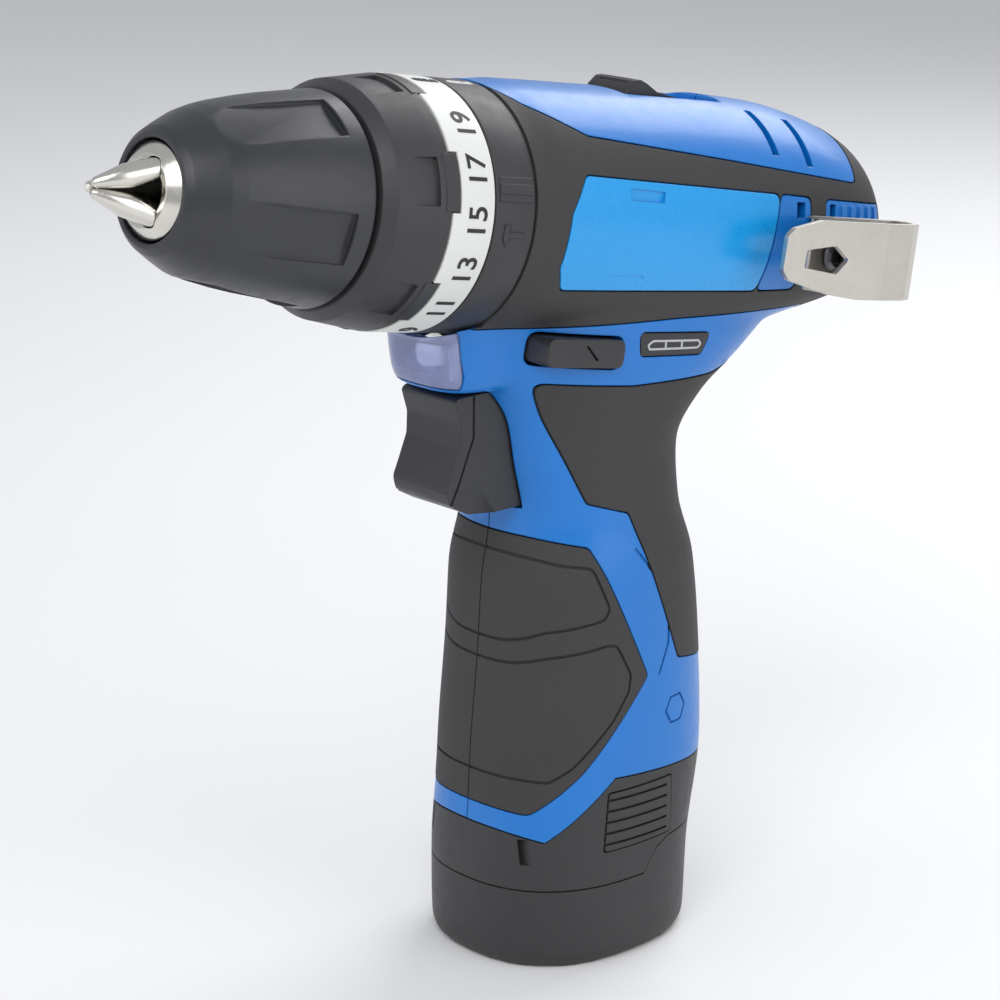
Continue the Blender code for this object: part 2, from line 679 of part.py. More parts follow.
def spring_mesh(curve, parent):
    guide = bpy.data.objects.new(curve.name + "_guide", curve)
    CUTTERS.objects.link(guide)
    bpy.context.view_layer.update()
    mesh = bpy.data.meshes.new_from_object(
        guide.evaluated_get(bpy.context.evaluated_depsgraph_get()))
    bpy.data.objects.remove(guide, do_unlink=True)
    bm = bmesh.new()
    bm.from_mesh(mesh)
    bmesh.ops.remove_doubles(bm, verts=bm.verts, dist=0.000001)
    bmesh.ops.recalc_face_normals(bm, faces=bm.faces)
    bm.to_mesh(mesh)
    bm.free()
    mesh.materials.clear()
    return place(curve.name, mesh, "dark_steel", parent)


def build_motor():
    turned("motor_can", [(MOTOR_FRONT_X, 4.4), (MOTOR_FRONT_X, MOTOR_RADIUS),
                         (MOTOR_BACK_X, MOTOR_RADIUS), (MOTOR_BACK_X, 16.2), (-76.0, 16.2),
                         (-75.0, 13.0), (-49.0, 13.0), (-48.0, 16.2), (-38.2, 16.2),
                         (-38.2, 4.4)], "steel")
    turned("motor_cap", [(MOTOR_BACK_X - GAP, 2.4), (MOTOR_BACK_X - GAP, 16.0), (-87.0, 16.0),
                         (-88.0, 6.0), (-91.5, 6.0), (-91.5, 2.4)], "black")
    turned("motor_rotor", [(-25.0, 0), (-25.0, 1.6), (-50.0, 1.6), (-50.0, 12.4), (-74.0, 12.4),
                           (-74.0, 3.0), (-77.0, 3.0), (-77.0, 5.0), (-83.4, 5.0), (-83.4, 2.0),
                           (-90.5, 2.0), (-90.5, 0)], "copper", ring=False, sides=24)
    fan = tube("motor_fan", -41.0, -46.4, 5.0, 1.9, "black", sides=18)
    for index in range(8):
        blade = box(f"fan_blade_{index}", (-46.2, -0.7, 4.2), (-41.2, 0.7, 14.8),
                    parent=empty(f"fan_turn_{index}", (0, 0, 0), (math.pi / 4 * index, 0, 0),
                                HEAD))
        boolean(fan, blade, "UNION")
    for word, sign in (("upper", 1), ("lower", -1)):
        low, high = sorted((sign * 5.4, sign * 13.6))
        box(f"{word}_brush", (-82.6, -2.0, low), (-78.0, 2.0, high), "carbon", HEAD, bevel=0.3)


# ---------------------------------------------------------------- controls

def build_trigger():
    loop = [(34.0, 119.6), (32.4, 115.0), (32.6, 110.6), (35.2, 105.2), (36.4, 102.4),
            (35.4, 99.6), (30.0, 97.0), (24.0, 96.0), (TRIGGER_BACK_X, 96.0),
            (TRIGGER_BACK_X, 120.4), (33.0, 120.4)]
    trigger = outline("trigger", [loop], 2 * TRIGGER_HALF_WIDTH, "black")
    round_edges(trigger, 2.4, 2, 50)
    boolean(trigger, rod("plunger", TRIGGER_BACK_X + 3.0, SWITCH_FRONT_X - 9.0, 2.4, parent=None,
                         location=(0, 0, TRIGGER_AXIS_Z), rotation=ALONG_HEAD, sides=10), "UNION")
    curve = bpy.data.curves.new("trigger_spring", "CURVE")
    curve.dimensions = "3D"
    curve.bevel_depth = 0.45 * MM
    curve.bevel_resolution = 0
    curve.use_fill_caps = True
    turns, steps_a_turn, radius = 5, 8, 3.6
    front, back = TRIGGER_BACK_X - 0.8, SWITCH_FRONT_X + 0.8
    spline = curve.splines.new("POLY")
    count = turns * steps_a_turn
    spline.points.add(count)
    for index, point in enumerate(spline.points):
        angle = 2 * math.pi * index / steps_a_turn
        x = back + (front - back) * index / count
        point.co = (x * MM, radius * math.cos(angle) * MM,
                    (TRIGGER_AXIS_Z + radius * math.sin(angle)) * MM, 1.0)
    spring_mesh(curve, None)
    switch = box("switch_body", (SWITCH_BACK_X, -9.2, 98.0), (SWITCH_FRONT_X, 9.2, 118.0), "black",
                 bevel=0.8)
    cut(switch, rod("plunger_bore", SWITCH_FRONT_X + 2, SWITCH_FRONT_X - 16.0, 2.8, parent=None,
                    location=(0, 0, TRIGGER_AXIS_Z), rotation=ALONG_HEAD, sides=12))


def build_small_controls():
    outline("direction_button", [rounded_bar(20.4, 5.6, 1.4)], 42.8, "black", HEAD,
            (-31.0, 0.0, -24.6))
    slider = box("speed_slider", (-62.5, -5.6, 23.9), (-47.5, 5.6, 27.6), "black", HEAD, bevel=1.2)
    boolean(slider, box("slider_stem", (-57.5, -2.0, 19.4), (-52.5, 2.0, 25.0), parent=HEAD),
            "UNION")


def build_clip():
    foot, plate, thick = 25.0, 32.6, 1.2
    loop = [(-71.0, plate), (-71.0, plate + thick), (-99.6, plate + thick), (-111.0, 31.4),
            (-113.2, 29.4), (-112.8, 26.0), (-110.6, foot), (-85.0, foot), (-85.0, foot + thick),
            (-110.4, foot + thick), (-111.6, 27.0), (-111.8, 28.8), (-110.4, 30.4), (-99.4, plate)]
    clip = outline("belt_clip", [loop], 15.6, "steel", HEAD, (0, 0, -3.0), (0, 0, 0))
    view_hole = outline("clip_view_hole", [[(-97.0, -5.6), (-83.6, -4.6), (-81.6, -1.8),
                                            (-87.4, 1.8), (-97.0, 0.2)]], 10.0, None, HEAD,
                        (0, 34.0, -0.6))
    screw_hole = rod("clip_foot_bore", 10.0, -6.0, 1.8, parent=HEAD, location=(-92.0, 24.0, -3.0),
                     rotation=(-math.pi / 2, 0, 0), sides=12)
    corners = [outline(f"clip_corner_{index}", [loop], 20.0, None, HEAD, (0, 32.0, -3.0))
               for index, loop in enumerate((
                   [(-60.0, 20.0), (-60.0, 2.0), (-71.2, 2.0), (-76.0, 7.9), (-76.0, 20.0)],
                   [(-60.0, -20.0), (-60.0, -2.0), (-71.2, -2.0), (-78.0, -7.9), (-78.0, -20.0)]))]
    cut(clip, view_hole, screw_hole, *corners)
    turned("clip_screw", [(28.0 - 24, 0), (28.0 - 24, 2.6), (26.6 - 24, 3.0), (26.5 - 24, 1.4),
                          (-9.6, 1.4), (-10.0, 0)], "dark_steel", HEAD, (-92.0, 24.0, -3.0),
           (-math.pi / 2, 0, 0), ring=False, sides=12)


# ---------------------------------------------------------------- battery

def cell_hull(margin, steps=8):
    """The rounded triangle round the three cells, a margin outside them."""
    loop = []
    radius = CELL_RADIUS + margin
    for index, (x, y) in enumerate(CELL_SPOTS):
        for step in range(steps + 1):
            angle = math.radians(150 + 120 * index + 120 * step / steps)
            loop.append((x + radius * math.cos(angle), y + radius * math.sin(angle)))
    return loop


def cell_prism(name, margin, low, high):
    return outline(name, [cell_hull(margin)], high - low, None, None,
                   (STICK_CENTRE_X, 0, (low + high) / 2), (0, 0, 0))


def build_battery():
    shell = loft("battery_shell", upright_rings(HANDLE_STATIONS[:6], 0.0), "black")
    cut(shell, outline("above_seam", [list(grow_seam(-GAP)) + [(-60.0, 200.0), (60.0, 200.0),
                                                                (60.0, 33.0)]], 100.0),
        box("below_cap", (-60, -60, -10), (60, 60, CAP_TOP_Z + GAP)))
    boolean(shell, cell_prism("stick_form", CELL_ROOM + STICK_WALL, 24.0, STICK_TOP_Z), "UNION")
    cut(shell, cell_prism("cell_space", CELL_ROOM, 10.0, STICK_TOP_Z - 1.6))
    for side, word in ((1, "left"), (-1, "right")):
        space = side_prism(f"latch_space_{word}", LATCH, side, None, GAP, inner=19.4)
        cut(shell, space)
        latch = side_prism(f"{word}_latch", LATCH, side, None, inner=20.9, colour="black")
        boolean(latch, FORM, "INTERSECT")
    cap = loft("battery_cap", upright_rings(HANDLE_STATIONS[:4], 0.0), "black")
    cut(cap, box("above_cap", (-60, -60, CAP_TOP_Z), (60, 60, 200)),
        cell_prism("cap_space", CELL_ROOM, CELL_BASE_Z - GAP, 40.0))
    for index, (x, y) in enumerate(CELL_SPOTS):
        turned(f"cell_{index + 1}", [
            (CELL_LENGTH, 0), (CELL_LENGTH, 3.2), (CELL_LENGTH - 1.0, 3.2),
            (CELL_LENGTH - 1.0, CELL_RADIUS), (0, CELL_RADIUS), (0, 0)], "cell", None,
            (STICK_CENTRE_X + x, y, CELL_BASE_Z), (0, 0, 0), ring=False, sides=24)
    box("contact_block", (STICK_CENTRE_X - 13, -8, STICK_TOP_Z + 0.6),
        (STICK_CENTRE_X + 13, 8, STICK_TOP_Z + 8.0), "black", bevel=0.8)


def grow_seam(distance):
    return [(x, z + distance) for x, z in POD_SEAM]


build_housing()
build_screws()
build_chuck()
build_collars()
build_gearbox()
build_motor()
build_trigger()
build_small_controls()
build_clip()
build_battery()
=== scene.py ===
"""Looks of a compact cordless combi drill that stands on its battery.

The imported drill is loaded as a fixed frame. Each sub-assembly is then rebuilt at full
resolution in the same places, dressed in its finish, and made to ride on its body. Sizes are in
millimetres and MM turns them into metres. The head frame's x axis is the chuck axis, pointing
forwards, its y axis is the drill's left, and its origin is at the back edge of the number band.
"""
import json
import logging
import math
from dataclasses import dataclass, field
from enum import Enum
from typing import Optional, Sequence, Union

import bmesh
import bpy
from mathutils import Matrix, Vector


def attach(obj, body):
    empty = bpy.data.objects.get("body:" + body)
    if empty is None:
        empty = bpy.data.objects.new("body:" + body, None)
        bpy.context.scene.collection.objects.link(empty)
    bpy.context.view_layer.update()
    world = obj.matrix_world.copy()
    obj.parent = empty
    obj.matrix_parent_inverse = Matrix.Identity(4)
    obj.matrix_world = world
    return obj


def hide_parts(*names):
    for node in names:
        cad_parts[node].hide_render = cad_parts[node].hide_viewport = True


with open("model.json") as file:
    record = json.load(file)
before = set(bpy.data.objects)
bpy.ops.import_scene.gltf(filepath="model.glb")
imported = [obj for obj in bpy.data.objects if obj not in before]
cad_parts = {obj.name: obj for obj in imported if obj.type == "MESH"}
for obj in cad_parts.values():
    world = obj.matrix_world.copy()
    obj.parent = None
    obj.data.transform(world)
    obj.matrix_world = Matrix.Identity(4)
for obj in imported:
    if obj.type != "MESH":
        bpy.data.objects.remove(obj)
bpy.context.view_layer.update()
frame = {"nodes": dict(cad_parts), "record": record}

MM = 0.001
GAP = 0.3                 # space kept between pieces that touch
ROUND = 128               # steps of a turned piece
FAR = 45.0                # a distance to the left that is outside every piece
HEAD_ORIGIN = Vector((38.4, 0.0, 157.7))
LOG = logging.getLogger("drill")

Point2 = tuple[float, float]
Rows = Sequence[Sequence[float]]
Value = Union["Wire", float, tuple[float, ...]]


class Plane(Enum):
    """The planes that outlines are drawn in: where (a, b) and the depth c point."""

    HEAD_SIDE = "head side"        # a along the head, b up, c to the left
    HEAD_CROSS = "head cross"      # a to the left, b up, c along the head
    HEAD_TOP = "head top"          # a along the head, b to the left, c up
    SIDE = "side"                  # a forwards, b up, c to the left
    TOP = "top"                    # a forwards, b to the left, c up


class Body(Enum):
    """The bodies of the drill that the rebuilt pieces ride on."""

    HOUSING = "housing"
    SPINDLE = "spindle"
    SLEEVE = "sleeve"
    TORQUE = "torque_collar"
    MODE = "mode_collar"
    TRIGGER = "trigger"
    DIRECTION = "direction_button"
    SLIDER = "speed_slider"
    BATTERY = "battery"
    LEFT_LATCH = "left_latch"
    RIGHT_LATCH = "right_latch"


class Slot(Enum):
    """The record's material slots."""

    BLUE = "blue"
    LIGHT_BLUE = "light_blue"
    RUBBER = "rubber"
    BLACK = "black"
    WHITE = "white"
    STEEL = "steel"
    DARK_STEEL = "dark_steel"
    LENS = "lens"
    COPPER = "copper"
    CARBON = "carbon"
    CELL = "cell"


def head_axis() -> Vector:
    """The chuck axis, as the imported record's spindle joint gives it."""
    joints = frame["record"]["behaviour"]["joints"]
    return Vector(next(j for j in joints if j["name"] == "spindle_turn")["axis"]).normalized()


def plane_matrix(plane: Plane) -> Matrix:
    """The matrix from a plane's own millimetres to the world's.

    Args:
        plane: the plane that an outline is drawn in.

    Returns:
        The matrix that takes (a, b, c) to (x, y, z).
    """
    along, left = head_axis(), Vector((0.0, 1.0, 0.0))
    up = along.cross(left)
    forwards, upright, zero = Vector((1, 0, 0)), Vector((0, 0, 1)), Vector((0, 0, 0))
    axes, origin = {
        Plane.HEAD_SIDE: ((along, up, left), HEAD_ORIGIN),
        Plane.HEAD_CROSS: ((left, up, along), HEAD_ORIGIN),
        Plane.HEAD_TOP: ((along, left, up), HEAD_ORIGIN),
        Plane.SIDE: ((forwards, upright, left), zero),
        Plane.TOP: ((forwards, left, upright), zero),
    }[plane]
    matrix = Matrix((axes[0], axes[1], axes[2])).transposed().to_4x4()
    matrix.translation = origin
    return matrix


# ---------------------------------------------------------------- node helper

class Wire:
    """A value in a material's node tree, with arithmetic that adds Math nodes."""

    def __init__(self, nodes: "Nodes", socket: bpy.types.NodeSocket) -> None:
        """Keeps the tree and the output socket."""
        self.nodes, self.socket = nodes, socket

    def _math(self, operation: str, *values: Value) -> "Wire":
        """One Math node of this operation."""
        return self.nodes.add("ShaderNodeMath", {"operation": operation}, dict(enumerate(values)))

    def __add__(self, other: Value) -> "Wire":
        """self + other."""
        return self._math("ADD", self, other)

    def __radd__(self, other: Value) -> "Wire":
        """other + self."""
        return self._math("ADD", other, self)

    def __sub__(self, other: Value) -> "Wire":
        """self - other."""
        return self._math("SUBTRACT", self, other)

    def __rsub__(self, other: Value) -> "Wire":
        """other - self."""
        return self._math("SUBTRACT", other, self)

    def __mul__(self, other: Value) -> "Wire":
        """self * other."""
        return self._math("MULTIPLY", self, other)

    def __rmul__(self, other: Value) -> "Wire":
        """other * self."""
        return self._math("MULTIPLY", other, self)

    def limited(self) -> "Wire":
        """The value kept between 0 and 1."""
        return self.nodes.add("ShaderNodeClamp", {}, {0: self})


class Nodes:
    """A material's node tree, which every other node is added to by one method."""

    def __init__(self, material: bpy.types.Material) -> None:
        """Takes over a material that uses nodes.

        Args:
            material: the material to build in.
        """
        material.use_nodes = True
        self.tree = material.node_tree
        self.shader = self.tree.nodes["Principled BSDF"]

    def add(self, kind: str, settings: dict[str, object], values: dict[Union[int, str], Value],
            output: Union[int, str] = 0) -> Wire:
        """Adds a node.

        Args:
            kind: the node's type.
            settings: its properties, with a ramp's stops under "stops"; they are set first.
            values: numbers, colours or wires for its input sockets, by index or name.
            output: which output is wanted.

        Returns:
            The output as a wire.
        """
        node = self.tree.nodes.new(kind)
        for key, value in settings.items():
            if key == "stops":
                ramp = node.color_ramp
                ramp.elements[0].position, ramp.elements[0].color = value[0]
                ramp.elements[-1].position, ramp.elements[-1].color = value[-1]
                for place, colour in value[1:-1]:
                    ramp.elements.new(place).color = colour
            else:
                setattr(node, key, value)
        for key, value in values.items():
            self.put(node.inputs[key], value)
        return Wire(self, node.outputs[output])

    def put(self, socket: bpy.types.NodeSocket, value: Value) -> None:
        """Links a wire to a socket, or sets its constant."""
        if isinstance(value, Wire):
            self.tree.links.new(value.socket, socket)
        else:
            socket.default_value = value

    def millimetres(self, stretch: tuple[float, float, float] = (1.0, 1.0, 1.0)) -> Wire:
        """The point on the piece in millimetres, stretched along the axes for brushed grain."""
        here = self.add("ShaderNodeTexCoord", {}, {}, "Object")
        scale = tuple(each / MM for each in stretch)
        return self.add("ShaderNodeVectorMath", {"operation": "MULTIPLY"}, {0: here, 1: scale})

    def noise(self, point: Wire, size: float, detail: float = 2.0, rough: float = 0.5) -> Wire:
        """Noise whose features are about this many millimetres across."""
        return self.add("ShaderNodeTexNoise", {}, {
            "Vector": point, "Scale": 1.0 / size, "Detail": detail, "Roughness": rough})

    def cells(self, point: Wire, size: float) -> Wire:
        """The distance to the nearest of scattered points this many millimetres apart."""
        return self.add("ShaderNodeTexVoronoi", {}, {"Vector": point, "Scale": 1.0 / size})

    def ramp(self, value: Wire, *stops: tuple[float, float]) -> Wire:
        """A black to white ramp through (place, brightness) stops."""
        colours = [(place, (level, level, level, 1.0)) for place, level in stops]
        return self.add("ShaderNodeValToRGB", {"stops": colours}, {0: value})

    def mix(self, share: Value, first: Value, second: Value) -> Wire:
        """A mix of two colours."""
        node = self.add("ShaderNodeMix", {"data_type": "RGBA"}, {0: share}, 2)
        inner = node.socket.node
        for index, value in ((6, first), (7, second)):
            self.put(inner.inputs[index], value)
        return node

    def soft_edges(self, radius: float) -> Wire:
        """The surface's normal with its edges rounded by a radius in millimetres."""
        return self.add("ShaderNodeBevel", {"samples": 4}, {"Radius": radius * MM})

    def bump(self, height: Wire, depth: float, normal: Optional[Wire] = None) -> Wire:
        """A bump of this depth in millimetres on a normal."""
        values: dict[Union[int, str], Value] = {"Strength": 1.0, "Distance": depth * MM,
                                                "Height": height}
        if normal is not None:
            values["Normal"] = normal
        return self.add("ShaderNodeBump", {}, values)


# ---------------------------------------------------------------- finishes

Colour = tuple[float, float, float]


def tint(colour: Colour, factor: float) -> tuple[float, float, float, float]:
    """A colour made lighter or darker, with its alpha."""
    return (*(min(1.0, channel * factor) for channel in colour), 1.0)


@dataclass(frozen=True)
class Finish:
    """A finish: its material is made once and shared by the pieces that wear it."""

    name: str
    colour: Colour
    roughness: float
    slot: Slot

    def material(self) -> bpy.types.Material:
        """The material, made on first use."""
        found = bpy.data.materials.get(self.name)
        if found is None:
            found = bpy.data.materials.new(self.name)
            self.dress(Nodes(found))
            found.diffuse_color = (*self.colour, 1.0)
        return found

    def dress(self, nodes: Nodes) -> None:
        """Builds the nodes of this finish.

        Args:
            nodes: the material's tree.
        """
        raise NotImplementedError

    def feed(self, nodes: Nodes, **inputs: Value) -> None:
        """Feeds the shader's sockets; underscores stand for spaces in their names."""
        for name, value in inputs.items():
            nodes.put(nodes.shader.inputs[name.replace("_", " ")], value)


@dataclass(frozen=True)
class Moulded(Finish):
    """Moulded plastic with a spark-eroded grain, slight mottling and rubbed patches."""

    grain: float = 0.35
    depth: float = 0.02
    mottling: float = 0.07
    edge: float = 0.35
    coat: float = 0.0

    def dress(self, nodes: Nodes) -> None:
        """Colour, roughness and bump vary with noise at three scales."""
        point = nodes.millimetres()
        broad = nodes.noise(point, 24.0, 3.0)
        middle = nodes.noise(point, 3.0, 4.0, 0.6)
        fine = nodes.noise(point, self.grain, 3.0, 0.6)
        pits = nodes.cells(point, self.grain * 1.6)
        share = (0.65 * broad + 0.35 * middle).limited()
        low, high = tint(self.colour, 1 - self.mottling), tint(self.colour, 1 + self.mottling)
        speck = nodes.ramp(fine, (0.35, 0.0), (0.75, 1.0)) * 0.25
        colour = nodes.mix(speck, nodes.mix(share, low, high), tint(self.colour, 1.25))
        rubbed = nodes.ramp(middle, (0.42, 0.0), (0.7, 1.0))
        rough = self.roughness + 0.12 * (fine - 0.5) + 0.07 * rubbed - 0.03
        bumped = nodes.bump(0.6 * fine + 0.4 * pits, self.depth, nodes.soft_edges(self.edge))
        self.feed(nodes, Base_Color=colour, Roughness=rough, Normal=bumped, IOR=1.5,
                  Coat_Weight=self.coat)


@dataclass(frozen=True)
class SoftRubber(Finish):
    """Matt moulded-on rubber with a fine leathery grain and a little dust in it."""

    grain: float = 0.55
    depth: float = 0.045

    def dress(self, nodes: Nodes) -> None:
        """The grain's valleys hold a little pale dust."""
        point = nodes.millimetres()
        broad = nodes.noise(point, 18.0, 4.0, 0.6)
        cells = nodes.cells(point, self.grain)
        fine = nodes.noise(point, 0.18, 2.0)
        dust = nodes.ramp(cells, (0.1, 1.0), (0.5, 0.0)) * nodes.ramp(broad, (0.3, 0.1), (0.8, 0.5))
        base = nodes.mix(broad, tint(self.colour, 0.9), tint(self.colour, 1.12))
        colour = nodes.mix(dust, base, tint(self.colour, 1.7))
        rough = self.roughness + 0.1 * (broad - 0.5) + 0.06 * (fine - 0.5)
        height = 0.75 * cells + 0.25 * fine
        bumped = nodes.bump(height, self.depth, nodes.soft_edges(0.3))
        self.feed(nodes, Base_Color=colour, Roughness=rough, Normal=bumped, IOR=1.48)


@dataclass(frozen=True)
class TurnedMetal(Finish):
    """Metal turned on a lathe: fine rings round the chuck axis, and a few faint scratches."""

    ring: float = 0.22
    tarnish: float = 0.12

    def dress(self, nodes: Nodes) -> None:
        """The rings come from noise along the chuck axis alone."""
        point = nodes.millimetres()
        axis = tuple(head_axis())
        along = nodes.add("ShaderNodeVectorMath", {"operation": "DOT_PRODUCT"},
                          {0: point, 1: axis}, "Value")
        rings = nodes.add("ShaderNodeTexNoise", {"noise_dimensions": "1D"}, {
            "W": along, "Scale": 1.0 / self.ring, "Detail": 3.0})
        broad = nodes.noise(point, 6.0, 4.0, 0.6)
        scuffs = nodes.ramp(nodes.noise(point, 1.1, 6.0, 0.7), (0.52, 0.0), (0.7, 1.0))
        colour = nodes.mix(broad, tint(self.colour, 1 - self.tarnish),
                           tint(self.colour, 1 + self.tarnish))
        rough = self.roughness + 0.14 * (rings - 0.5) + 0.1 * scuffs
        bumped = nodes.bump(rings, 0.006, nodes.soft_edges(0.18))
        self.feed(nodes, Base_Color=colour, Roughness=rough, Normal=bumped, Metallic=1.0)


@dataclass(frozen=True)
class BrushedSheet(Finish):
    """Satin plated sheet steel, brushed along its length."""

    def dress(self, nodes: Nodes) -> None:
        """Noise stretched along the sheet gives the brush marks."""
        strokes = nodes.noise(nodes.millimetres((0.06, 1.0, 1.0)), 0.3, 4.0, 0.65)
        point = nodes.millimetres()
        broad = nodes.noise(point, 9.0, 3.0)
        spots = nodes.ramp(nodes.noise(point, 0.9, 3.0), (0.6, 0.0), (0.75, 1.0))
        base = nodes.mix(broad, tint(self.colour, 0.9), tint(self.colour, 1.08))
        colour = nodes.mix(0.25 * spots, base, tint(self.colour, 0.6))
        rough = self.roughness + 0.2 * (strokes - 0.5) + 0.08 * spots
        bumped = nodes.bump(strokes, 0.012, nodes.soft_edges(0.3))
        self.feed(nodes, Base_Color=colour, Roughness=rough, Normal=bumped, Metallic=1.0)


@dataclass(frozen=True)
class ClearMoulding(Finish):
    """Clear tinted plastic, with flow marks."""

    def dress(self, nodes: Nodes) -> None:
        """Mostly transmissive, with cloudy streaks."""
        point = nodes.millimetres()
        cloud = nodes.noise(point, 3.5, 4.0, 0.6)
        fine = nodes.noise(point, 0.5, 2.0)
        colour = nodes.mix(cloud, tint(self.colour, 0.86), tint(self.colour, 1.15))
        rough = self.roughness + 0.14 * nodes.ramp(cloud, (0.4, 0.0), (0.7, 1.0))
        bumped = nodes.bump(fine, 0.008, nodes.soft_edges(0.5))
        self.feed(nodes, Base_Color=colour, Roughness=rough, Normal=bumped, IOR=1.49,
                  Transmission_Weight=0.72)


@dataclass(frozen=True)
class Printed(Finish):
    """Printed ink that is slightly uneven."""

    # glow: light the print gives off; on the lamp's diode it is a real lamp, on the gauge frame it
    # is a painted glow
    glow: float = 0.0

    def dress(self, nodes: Nodes) -> None:
        """Small gaps in the ink's density."""
        point = nodes.millimetres()
        patches = nodes.noise(point, 0.7, 3.0)
        colour = nodes.mix(patches, tint(self.colour, 0.88), tint(self.colour, 1.1))
        rough = self.roughness + 0.15 * (patches - 0.5)
        bumped = nodes.bump(nodes.noise(point, 0.25), 0.006)
        self.feed(nodes, Base_Color=colour, Roughness=rough, Normal=bumped,
                  Emission_Color=colour, Emission_Strength=self.glow)


@dataclass(frozen=True)
class WoundWire(Finish):
    """Lacquered copper wire wound in rows along the motor's axis."""

    wire: float = 0.5

    def dress(self, nodes: Nodes) -> None:
        """Rows of wire from a wave across the axis; the colour is darker in the grooves between
        them and lighter on their crests, which is painted shade and painted highlight.
        """
        point = nodes.millimetres()
        rows = nodes.add("ShaderNodeTexWave", {"bands_direction": "Y"}, {
            "Vector": point, "Scale": 0.3 / self.wire, "Distortion": 0.6}, "Fac")
        # painted shade and painted highlight: darker in the grooves between the rows of wire,
        # lighter on their crests
        colour = nodes.mix(rows, tint(self.colour, 0.5), tint(self.colour, 1.2))
        rough = self.roughness + 0.15 * (nodes.noise(point, 1.0) - 0.5)
        self.feed(nodes, Base_Color=colour, Roughness=rough,
                  Normal=nodes.bump(rows, 0.12), Metallic=0.85)


BLUE = Moulded("blue_shell", (0.0, 0.150, 0.510), 0.36, Slot.BLUE, coat=0.08)
LIGHT_BLUE = Moulded("light_blue_panel", (0.002, 0.285, 0.680), 0.3, Slot.LIGHT_BLUE, depth=0.008,
                     coat=0.2)
RUBBER = SoftRubber("grip_rubber", (0.030, 0.029, 0.030), 0.66, Slot.RUBBER)
BLACK = Moulded("black_plastic", (0.020, 0.020, 0.022), 0.42, Slot.BLACK, mottling=0.1)
COLLAR_BLACK = Moulded("collar_plastic", (0.026, 0.026, 0.028), 0.5, Slot.BLACK, depth=0.015)
SLEEVE_BLACK = Moulded("sleeve_plastic", (0.023, 0.024, 0.029), 0.38, Slot.BLACK, depth=0.012,
                       edge=0.6)
BATTERY_BLACK = Moulded("battery_plastic", (0.024, 0.024, 0.025), 0.5, Slot.BLACK, grain=0.5,
                        depth=0.03)
BAND_WHITE = Moulded("band_plastic", (0.66, 0.67, 0.64), 0.5, Slot.WHITE, depth=0.012,
                     mottling=0.05)
INK = Printed("number_ink", (0.012, 0.012, 0.013), 0.55, Slot.BLACK)
WHITE_INK = Printed("mode_ink", (0.72, 0.73, 0.72), 0.5, Slot.WHITE)
# the gauge frame's ink has a faint painted glow; the frame is not a lamp
GAUGE_INK_PAINTED_GLOW = Printed("gauge_ink_painted_glow", (0.40, 0.41, 0.42), 0.35, Slot.WHITE, glow=0.05)
BRIGHT_STEEL = TurnedMetal("bright_steel", (0.66, 0.64, 0.59), 0.2, Slot.STEEL)
GEAR_STEEL = TurnedMetal("gear_steel", (0.50, 0.50, 0.49), 0.34, Slot.STEEL)
SCREW_STEEL = TurnedMetal("screw_steel", (0.16, 0.16, 0.17), 0.36, Slot.DARK_STEEL)
CLIP_STEEL = BrushedSheet("clip_steel", (0.62, 0.59, 0.54), 0.42, Slot.STEEL)
LENS = ClearMoulding("lamp_plastic", (0.50, 0.56, 0.86), 0.1, Slot.LENS)
LAMP = Printed("lamp_body", (0.85, 0.86, 0.80), 0.25, Slot.WHITE, glow=0.6)
COPPER = WoundWire("motor_winding", (0.62, 0.27, 0.10), 0.35, Slot.COPPER)
CARBON = Moulded("brush_carbon", (0.045, 0.045, 0.048), 0.62, Slot.CARBON, grain=0.15)
CELL_WRAP = Moulded("cell_wrap", (0.04, 0.27, 0.15), 0.34, Slot.CELL, depth=0.004, coat=0.3)

CAD_FINISH = {
    "blue": BLUE, "light_blue": LIGHT_BLUE, "rubber": RUBBER, "black": BLACK,
    "white": BAND_WHITE, "steel": GEAR_STEEL, "dark_steel": SCREW_STEEL, "lens": LENS,
    "copper": COPPER, "carbon": CARBON, "cell": CELL_WRAP,
}


# ---------------------------------------------------------------- outlines

def filleted(loop: Sequence[Point2], radius: float, steps: int = 5) -> list[Point2]:
    """Rounds every corner of a closed outline.

    Args:
        loop: the outline's corners.
        radius: the wanted radius, which short sides make smaller.
        steps: straight pieces in each arc.

    Returns:
        The rounded outline.
    """
    made: list[Point2] = []
    for index, corner in enumerate(loop):
        here = Vector(corner)
        before = Vector(loop[index - 1]) - here
        after = Vector(loop[(index + 1) % len(loop)]) - here
        angle = before.angle(after)
        if angle > math.radians(176) or radius <= 0.0:
            made.append(tuple(here))
            continue
        reach = min(radius / math.tan(angle / 2), 0.45 * before.length, 0.45 * after.length)
        start, end = here + before.normalized() * reach, here + after.normalized() * reach
        for step in range(steps + 1):
            t = step / steps
            made.append(tuple(start * (1 - t) ** 2 + here * 2 * t * (1 - t) + end * t ** 2))
    return made


def grown(loop: Sequence[Point2], distance: float) -> list[Point2]:
    """Moves each side of a closed outline outwards.

    Args:
        loop: the outline, in either direction.
        distance: how far it grows; a negative distance shrinks it.

    Returns:
        The moved outline.
    """
    pairs = zip(loop, list(loop[1:]) + [loop[0]])
    turn = math.copysign(1.0, sum(a[0] * b[1] - b[0] * a[1] for a, b in pairs))
    made = []
    for index, point in enumerate(loop):
        here, after = Vector(point), Vector(loop[(index + 1) % len(loop)])
        first, second = (here - Vector(loop[index - 1])).normalized(), (after - here).normalized()
        normals = [Vector((d.y, -d.x)) * turn for d in (first, second)]
        middle = (normals[0] + normals[1]).normalized()
        made.append(tuple(here + middle * distance / max(0.4, middle.dot(normals[0]))))
    return made


